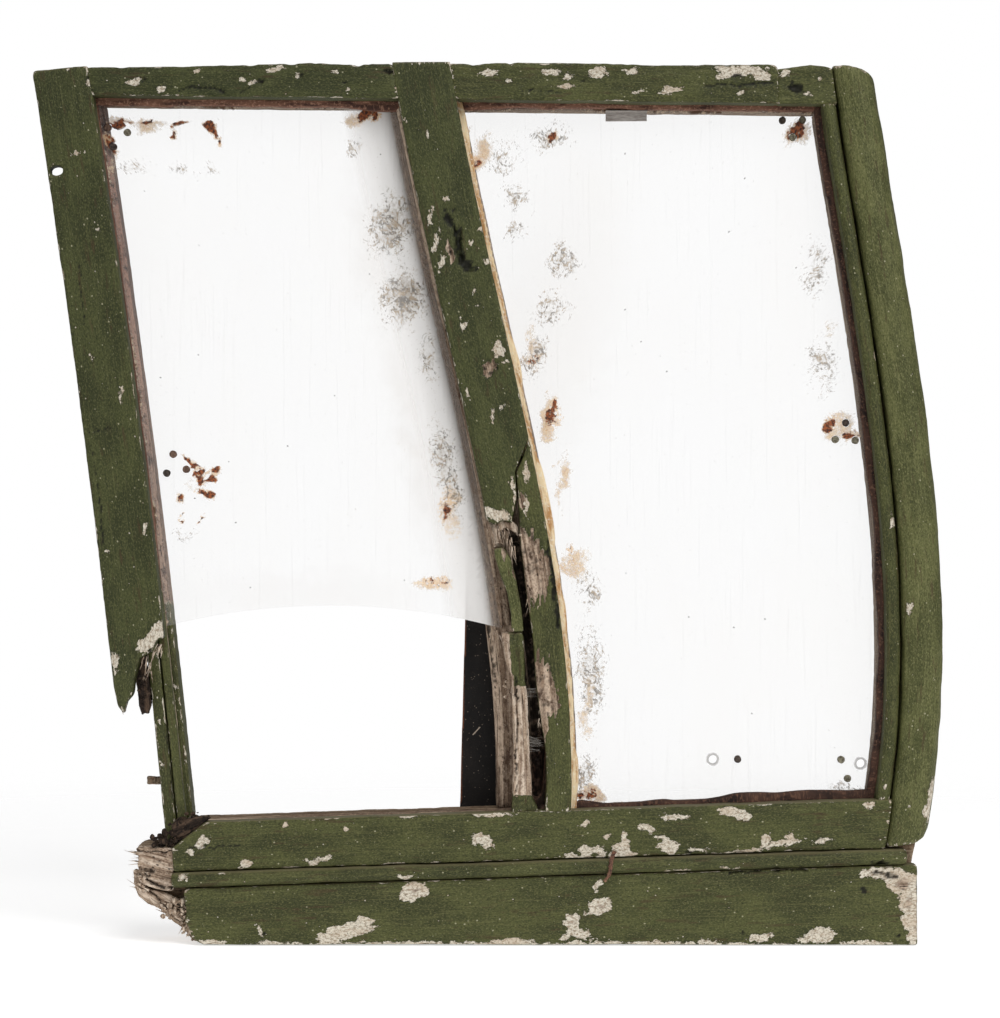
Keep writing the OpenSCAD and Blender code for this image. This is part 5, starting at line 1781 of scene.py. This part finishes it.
@dataclass
class Glazing:
    """Both panes, the bedding round them, the blocks under the right one and its tape."""

    stock: Stock
    plug_radius: float = 2.3
    plug_length: float = 2.6
    pair_pitch: float = 15.0

    def panes(self) -> None:
        """Builds the two clear sheets."""
        ring_reach = 9.6
        left_top, right_top = HEAD.height - 18.4, HEAD.height - 12.5
        left_holes = hole_ring(LEFT_INNER.at(left_top) + ring_reach - 1.5, left_top, 136)
        left_holes += hole_ring(LEFT_INNER.at(288) + ring_reach + 6.7, 288, 101)
        right_holes = hole_ring(RIGHT_INNER.at(right_top) - ring_reach - 7.2, right_top, 151)
        right_holes += hole_ring(RIGHT_INNER.at(307) - ring_reach - 3.8, 307, 88)
        right_holes += hole_ring(RIGHT_INNER.at(104.7) - ring_reach - 6, 104.7, 139)
        pair = RIGHT_INNER.at(109.5) - 99.3
        right_holes += ((pair, 109.5), (pair + self.pair_pitch, 109.5))
        rusty = [left_holes[i] for i in (0, 3, 5)]
        self.plugs("hole_dirt_brown", rusty, 61, tint(128, 102, 86), tint(84, 64, 54))
        blackened = [left_holes[i] for i in (1, 4)] + [right_holes[i] for i in (0, 3, 10)]
        self.plugs("hole_dirt_black", blackened, 62, tint(92, 80, 72), tint(48, 42, 38))
        mossy = [left_holes[2]] + [right_holes[i] for i in (1, 2, 4, 5, 6, 7)]
        self.plugs("hole_dirt_grey", mossy, 63, tint(150, 144, 124), tint(88, 82, 66))
        Pane(
            "left_pane", LEFT_INNER, MULLION_LEFT, (),
            {
                "rust": (
                    (-224, 497, 13, 4.5, -4, 0.58), (-205, 497, 10, 4.5, 6, 0.58),
                    (-185, 494, 10, 2.8, 22, 0.60), (-190, 488, 4, 3.6, 0, 0.56),
                    (-168, 491, 4.6, 11, 38, 0.66), (-163, 483, 3.2, 6, 10, 0.58),
                    (-230, 484, 3, 12, 10, 0.50), (-74, 500, 12, 6, -10, 0.62),
                    (-181, 291, 10, 4.5, -38, 0.60), (-174, 283, 4.2, 10, 8, 0.60),
                    (-172, 269.5, 10, 5.6, -12, 0.64), (-165.5, 283, 8, 3.2, -42, 0.60),
                    (-186.5, 267, 3.0, 6, 0, 0.58), (-186.5, 256, 2.6, 5, 20, 0.54),
                    (-180, 252.5, 6, 1.8, 0, 0.54), (-172.5, 255, 6, 3, 40, 0.56),
                    (-30, 218, 14, 9, 10, 0.44), (-26, 262, 9, 20, 8, 0.42),
                ),
                "cream": (
                    (-206, 495, 26, 7, 0, 0.50), (-228, 474, 6, 24, 10, 0.42), (-80, 500, 18, 7, 0, 0.50),
                    (-178, 276, 14, 20, 0, 0.34), (-54, 386, 10, 12, 0, 0.36), (-24, 262, 12, 42, 8, 0.40),
                    (-32, 216, 20, 12, 10, 0.48), (-86, 262, 9, 9, 0, 0.30), (-54, 300, 8, 14, 0, 0.32),
                ),
                "grey": (
                    (-216, 470, 12, 6, 0, 0.40), (-190, 469, 9, 5, 0, 0.40), (-172, 466, 11, 6, 0, 0.28),
                    (-82, 482, 9, 9, 0, 0.40), (-184, 246, 9, 9, 0, 0.30), (-60, 434, 20, 28, -14, 0.50),
                    (-52, 390, 22, 24, 10, 0.50), (-36, 352, 10, 22, 10, 0.36), (-26, 284, 13, 42, 6, 0.40),
                ),
                "haze": (
                    (-30, 300, 30, 110, 12, 0.34), (-60, 420, 28, 80, 12, 0.25),
                    (-110, 210, 90, 18, 0, 0.10),
                ),
            },
            milky=0.85,
        ).make()
        Pane(
            "right_pane", MULLION_RIGHT, RIGHT_INNER, (right_holes[8], right_holes[9]),
            {
                "rust": (
                    (39, 488, 10, 5, -8, 0.54), (-14, 490, 5, 9, 0, 0.50), (-7, 470, 4, 9, -10, 0.50),
                    (28, 352, 5, 12, -10, 0.46), (39, 320, 7, 13, -6, 0.56), (50, 238, 6, 9, 0, 0.46),
                    (60, 88, 12, 6, 0, 0.54), (184, 491, 11, 10, 0, 0.55), (209, 315, 7, 10, -30, 0.62),
                    (219, 306, 7, 6, -30, 0.52),
                ),
                "cream": (
                    (-6, 474, 10, 30, -18, 0.50), (26, 364, 9, 26, -12, 0.44), (37, 318, 8, 26, -6, 0.54),
                    (52, 228, 16, 22, 0, 0.46), (44, 280, 8, 40, -6, 0.46), (60, 142, 9, 40, 0, 0.42),
                    (64, 89, 16, 9, 0, 0.54), (186, 490, 18, 14, 0, 0.48), (213, 312, 17, 18, -30, 0.46),
                    (209, 372, 8, 20, 0, 0.36),
                ),
                "grey": (
                    (38, 487, 20, 11, 10, 0.42), (8, 474, 16, 16, 0, 0.38), (17, 449, 12, 12, 0, 0.40),
                    (17, 430, 10, 8, 0, 0.46), (46, 412, 13, 15, 20, 0.44), (38, 384, 16, 18, 0, 0.42),
                    (28, 356, 9, 20, -12, 0.50), (60, 214, 12, 20, 0, 0.36), (62, 160, 12, 40, 0, 0.44),
                    (58, 100, 12, 16, 0, 0.48), (203, 350, 12, 24, 0, 0.40), (199, 408, 11, 26, 0, 0.38),
                    (216, 90, 14, 8, 0, 0.36),
                ),
                "haze": ((40, 380, 50, 130, -10, 0.14),),
            },
        ).make()

    def plugs(
        self, name: str, holes: Sequence[tuple[float, float]], seed: int, pale: Colour, dark: Colour
    ) -> None:
        """Packs dirt into some holes.

        Args:
            name: Name of the piece.
            holes: Middles of the holes.
            seed: Number of the pattern.
            pale: Colour of the dry crumbs.
            dark: Colour between them.
        """
        low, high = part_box("right_pane")
        depth = (low[1] + high[1]) / 2
        lumps = []
        for x, z in holes:
            bpy.ops.object.select_all(action="DESELECT")
            bpy.ops.mesh.primitive_cylinder_add(
                vertices=20, radius=self.plug_radius * MM, depth=self.plug_length * MM,
                location=(x * MM, depth, z * MM), rotation=(math.pi / 2, 0, 0)
            )
            lumps.append(settled())
        piece = joined(name, lumps)
        skin = skinned(piece, 0.35, 0)
        skin.points += skin.normals * (noise(skin.points, (1.6, 1.6, 1.6), seed, 2) * 0.25 - 0.05)[:, None]
        skin.write()
        coated(piece, DriedDirt(name.replace("_", " "), pale, dark).make())
        hand_over(piece, "dark_wood")

    def build(self) -> None:
        """Builds everything that holds the glazing."""
        self.panes()
        brown, dark, orange = self.stock.brown_bedding, self.stock.dark_bedding, self.stock.orange_bedding
        for strip in (
            Bedding("left_head_bedding", HEAD, brown, bulge=(0.2, 2.4), toward=(0, 0, -1), seed=30),
            Bedding(
                "left_mullion_bedding", MULLION_LEFT, self.stock.bare, "bare_wood", bulge=(0, 0.8),
                toward=(-1, 0, 0), seed=31,
            ),
            Bedding(
                "left_foot_bedding", RAIL_TOP, self.stock.bare, "bare_wood", bulge=(0, 0.6), toward=(0, 0, 1),
                seed=32, lumps=0.3,
            ),
            Bedding(
                "right_mullion_bedding", MULLION_RIGHT, orange, "orange_bedding", bulge=(-2.4, 1.6), seed=33,
                wave=42, drawn_in=1.8, drawn_above=380.0,
            ),
            Bedding("right_head_bedding", HEAD, brown, bulge=(-0.8, 1.6), toward=(0, 0, -1), seed=34),
            Bedding("right_stile_bedding", RIGHT_INNER, dark, bulge=(0.2, 2.0), toward=(-1, 0, 0), seed=35),
            Bedding("right_foot_bedding", RAIL_TOP, dark, bulge=(0, 4.2), toward=(0, 0, 1), seed=36, wave=46),
        ):
            strip.make()
        for node, material in (("setting_blocks", self.stock.rubber), ("repair_tape", self.stock.tape)):
            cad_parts[node].data.materials.clear()
            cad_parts[node].data.materials.append(material)
            LOG.info("%s: finished as it is", node)


# ---------------------------------------------------------------- fixings and strap


@dataclass
class Steelwork:
    """Screws, nails and the black strap on the back."""

    stock: Stock
    slot_half: float = 0.5
    slot_depth: float = 1.0
    slot_side: float = 0.4
    slot_turn: float = 0.7
    head_reach: float = 4.2
    heads_apart: float = 9.0

    def rusted(
        self, node: str, voxel: float, crust: float, seed: int, slotted: bool = False, crooked: float = 0.0,
        finish: bpy.types.Material | None = None,
    ) -> None:
        """Builds one group of rusty fixings.

        Args:
            node: Name of the solid.
            voxel: Fineness of the skin.
            crust: Height of the rust.
            seed: Number of the pattern.
            slotted: Whether the heads at the back have a driver slot.
            crooked: How far the shank bends from side to side.
            finish: Material, if not the usual rust.
        """
        piece = copy_of(node, f"{node}_rusted")
        skin = skinned(piece, voxel, 1)
        lift = noise(skin.points, (1.6, 1.6, 1.6), seed, 2) * crust
        if slotted:
            back = ease(skin.normals[:, 1], 0.6, 0.95)
            for x, z, turn in self.heads(skin):
                across, up = skin.points[:, 0] - x, skin.points[:, 2] - z
                near = np.hypot(across, up) < self.head_reach
                gap = np.abs(across * math.sin(turn) - up * math.cos(turn))
                cut = 1 - ease(gap, self.slot_half, self.slot_half + self.slot_side)
                skin.points[:, 1] -= near * back * self.slot_depth * cut
        skin.points += skin.normals * lift[:, None]
        if crooked:
            skin.points[:, 0] += crooked * noise(skin.points * (0, 0, 1), (9, 9, 5.5), seed + 1, 2)
            skin.points[:, 1] += 0.3 * crooked * (1 + noise(skin.points * (0, 0, 1), (9, 9, 6), seed + 2))
        skin.write()
        coated(piece, finish or self.stock.rust)
        hand_over(piece, "rusted_steel", node)

    def heads(self, skin: Skin) -> list[tuple[float, float, float]]:
        """Finds the screw heads at the back.

        Args:
            skin: Skin of the screws.

        Returns:
            The middle of each head, and a slot direction in radians.
        """
        top = skin.points[skin.points[:, 1] > skin.points[:, 1].max() - 0.4][:, [0, 2]]
        found: list[tuple[float, float, float]] = []
        while len(top):
            near = np.hypot(*(top - top[0]).T) < self.heads_apart
            middle = (top[near].min(0) + top[near].max(0)) / 2
            found.append((float(middle[0]), float(middle[1]), self.slot_turn * len(found)))
            top = top[~near]
        return found

    def strap(self) -> None:
        """Builds the black strap with worn edges and one long scratch."""
        piece = copy_of("backing_strap", "backing_strap_dusty")
        skin = skinned(piece, 1.2)
        edge = skin.sharpness(1)
        skin.points += skin.normals * (noise(skin.points, (40, 40, 40), 41, 2) * 0.25 - 0.25)[:, None]
        skin.store("tone", 0.0, edge, 0.0)
        skin.write()
        coated(piece, self.stock.strap)
        hand_over(piece, "black_steel", "backing_strap")

    def build(self) -> None:
        """Builds all the steelwork, and dresses the wooden pegs."""
        self.rusted("rear_screws", 0.45, 0.10, 51, slotted=True)
        self.rusted("strap_screws", 0.45, 0.10, 52, slotted=True)
        self.rusted("stile_nail", 0.4, 0.55, 53, finish=self.stock.grey_rust)
        self.rusted("sill_nail", 0.3, 0.45, 54, crooked=1.5)
        self.strap()
        Timber(
            "joint_pegs", HEAD, self.stock.bare, "bare_wood", coat=Coat.NONE, voxel=0.6, wobble=0.0, seed=55,
            nibble=0.3,
        ).make()


# ---------------------------------------------------------------- studio


@dataclass
class Studio:
    """A plain white floor and room, soft light from above and in front, and a level camera."""

    eye: tuple[float, float, float] = (0.0069, -1.8213, 0.2616)
    lens: float = 108.0
    white: float = 0.56
    fill: float = 0.28
    floor_radius: float = 1.3
    floor_drop: float = 0.0006
    solid_floor: float = 420.0
    fade_edge: float = 20.0
    sensor: float = 36.0
    lamps: tuple[tuple[tuple[float, float, float], float, float], ...] = (
        ((0.6, -1.6, 1.9), 1.3, 27.0), ((-1.5, -1.4, 0.7), 1.3, 5.0), ((1.5, -1.2, 0.8), 1.0, 7.0),
    )
    aim: tuple[float, float, float] = (0.0, 0.0, 0.26)

    def floor(self) -> None:
        """Builds a round white floor that fades into the white room all round the frame."""
        bpy.ops.object.select_all(action="DESELECT")
        bpy.ops.mesh.primitive_circle_add(
            vertices=96, radius=self.floor_radius, fill_type="NGON", location=(0, 0, -self.floor_drop)
        )
        floor = bpy.context.active_object
        floor.name = "studio_floor"
        bpy.ops.object.transform_apply(location=True, rotation=False, scale=False)
        bench = Bench("studio white")
        distance = bench.add("ShaderNodeVectorMath", operation="LENGTH")
        bench.join(bench.place(), distance.inputs[0])
        clear = self.floor_radius / MM - self.fade_edge
        fade = bench.band(distance.outputs["Value"], clear, self.solid_floor)
        bench.set(
            Base_Color=(0.9, 0.9, 0.9, 1.0), Roughness=1.0, Alpha=fade, Emission_Color=(1, 1, 1, 1),
            Emission_Strength=self.white,
        )
        floor.data.materials.append(bench.material)

    def room(self) -> bpy.types.World:
        """A white room that lights the frame more softly than it looks.

        Returns:
            The world of the scene.
        """
        world = bpy.data.worlds.new("soft white room")
        world.use_nodes = True
        tree = world.node_tree
        tree.nodes.clear()
        light = tree.nodes.new("ShaderNodeBackground")
        backdrop = tree.nodes.new("ShaderNodeBackground")
        light.inputs["Strength"].default_value = self.fill
        backdrop.inputs["Strength"].default_value = 1.0
        for background in (light, backdrop):
            background.inputs["Color"].default_value = (1, 1, 1, 1)
        seen = tree.nodes.new("ShaderNodeLightPath")
        mix = tree.nodes.new("ShaderNodeMixShader")
        output = tree.nodes.new("ShaderNodeOutputWorld")
        tree.links.new(seen.outputs["Is Camera Ray"], mix.inputs[0])
        tree.links.new(light.outputs[0], mix.inputs[1])
        tree.links.new(backdrop.outputs[0], mix.inputs[2])
        tree.links.new(mix.outputs[0], output.inputs["Surface"])
        return world

    def build(self) -> None:
        """Builds the floor, the lamps, the room and the camera."""
        self.floor()
        for number, (place, size, power) in enumerate(self.lamps):
            lamp = bpy.data.lights.new(f"soft_box_{number}", "AREA")
            lamp.shape = "SQUARE"
            lamp.size = size
            lamp.energy = power
            holder = bpy.data.objects.new(lamp.name, lamp)
            bpy.context.scene.collection.objects.link(holder)
            holder.location = place
            reach = [a - b for a, b in zip(self.aim, place)]
            yaw = math.atan2(reach[1], reach[0]) - math.pi / 2
            pitch = math.atan2(math.hypot(reach[0], reach[1]), -reach[2])
            holder.rotation_euler = (pitch, 0.0, yaw)
        bpy.context.scene.world = self.room()
        camera = bpy.data.objects.new("camera", bpy.data.cameras.new("camera"))
        camera.data.sensor_fit = "HORIZONTAL"
        camera.data.sensor_width = self.sensor
        camera.data.lens = self.lens
        camera.location = self.eye
        camera.rotation_euler = (math.pi / 2, 0.0, 0.0)
        bpy.context.scene.collection.objects.link(camera)
        bpy.context.scene.camera = camera
        bpy.context.scene.view_settings.view_transform = "Standard"


def main() -> None:
    """Builds the window and its studio."""
    logging.basicConfig(level=logging.INFO, format="%(message)s")
    stock = Stock()
    timberwork = (LeftStile, Mullion, RightPillar, TopRail, BottomRails, RottenCorner)
    for assembly in (*timberwork, Debris, Glazing, Steelwork):
        assembly(stock).build()
        LOG.info("%s done", assembly.__name__)
    Studio().build()


if __name__ == "__main__":
    main()
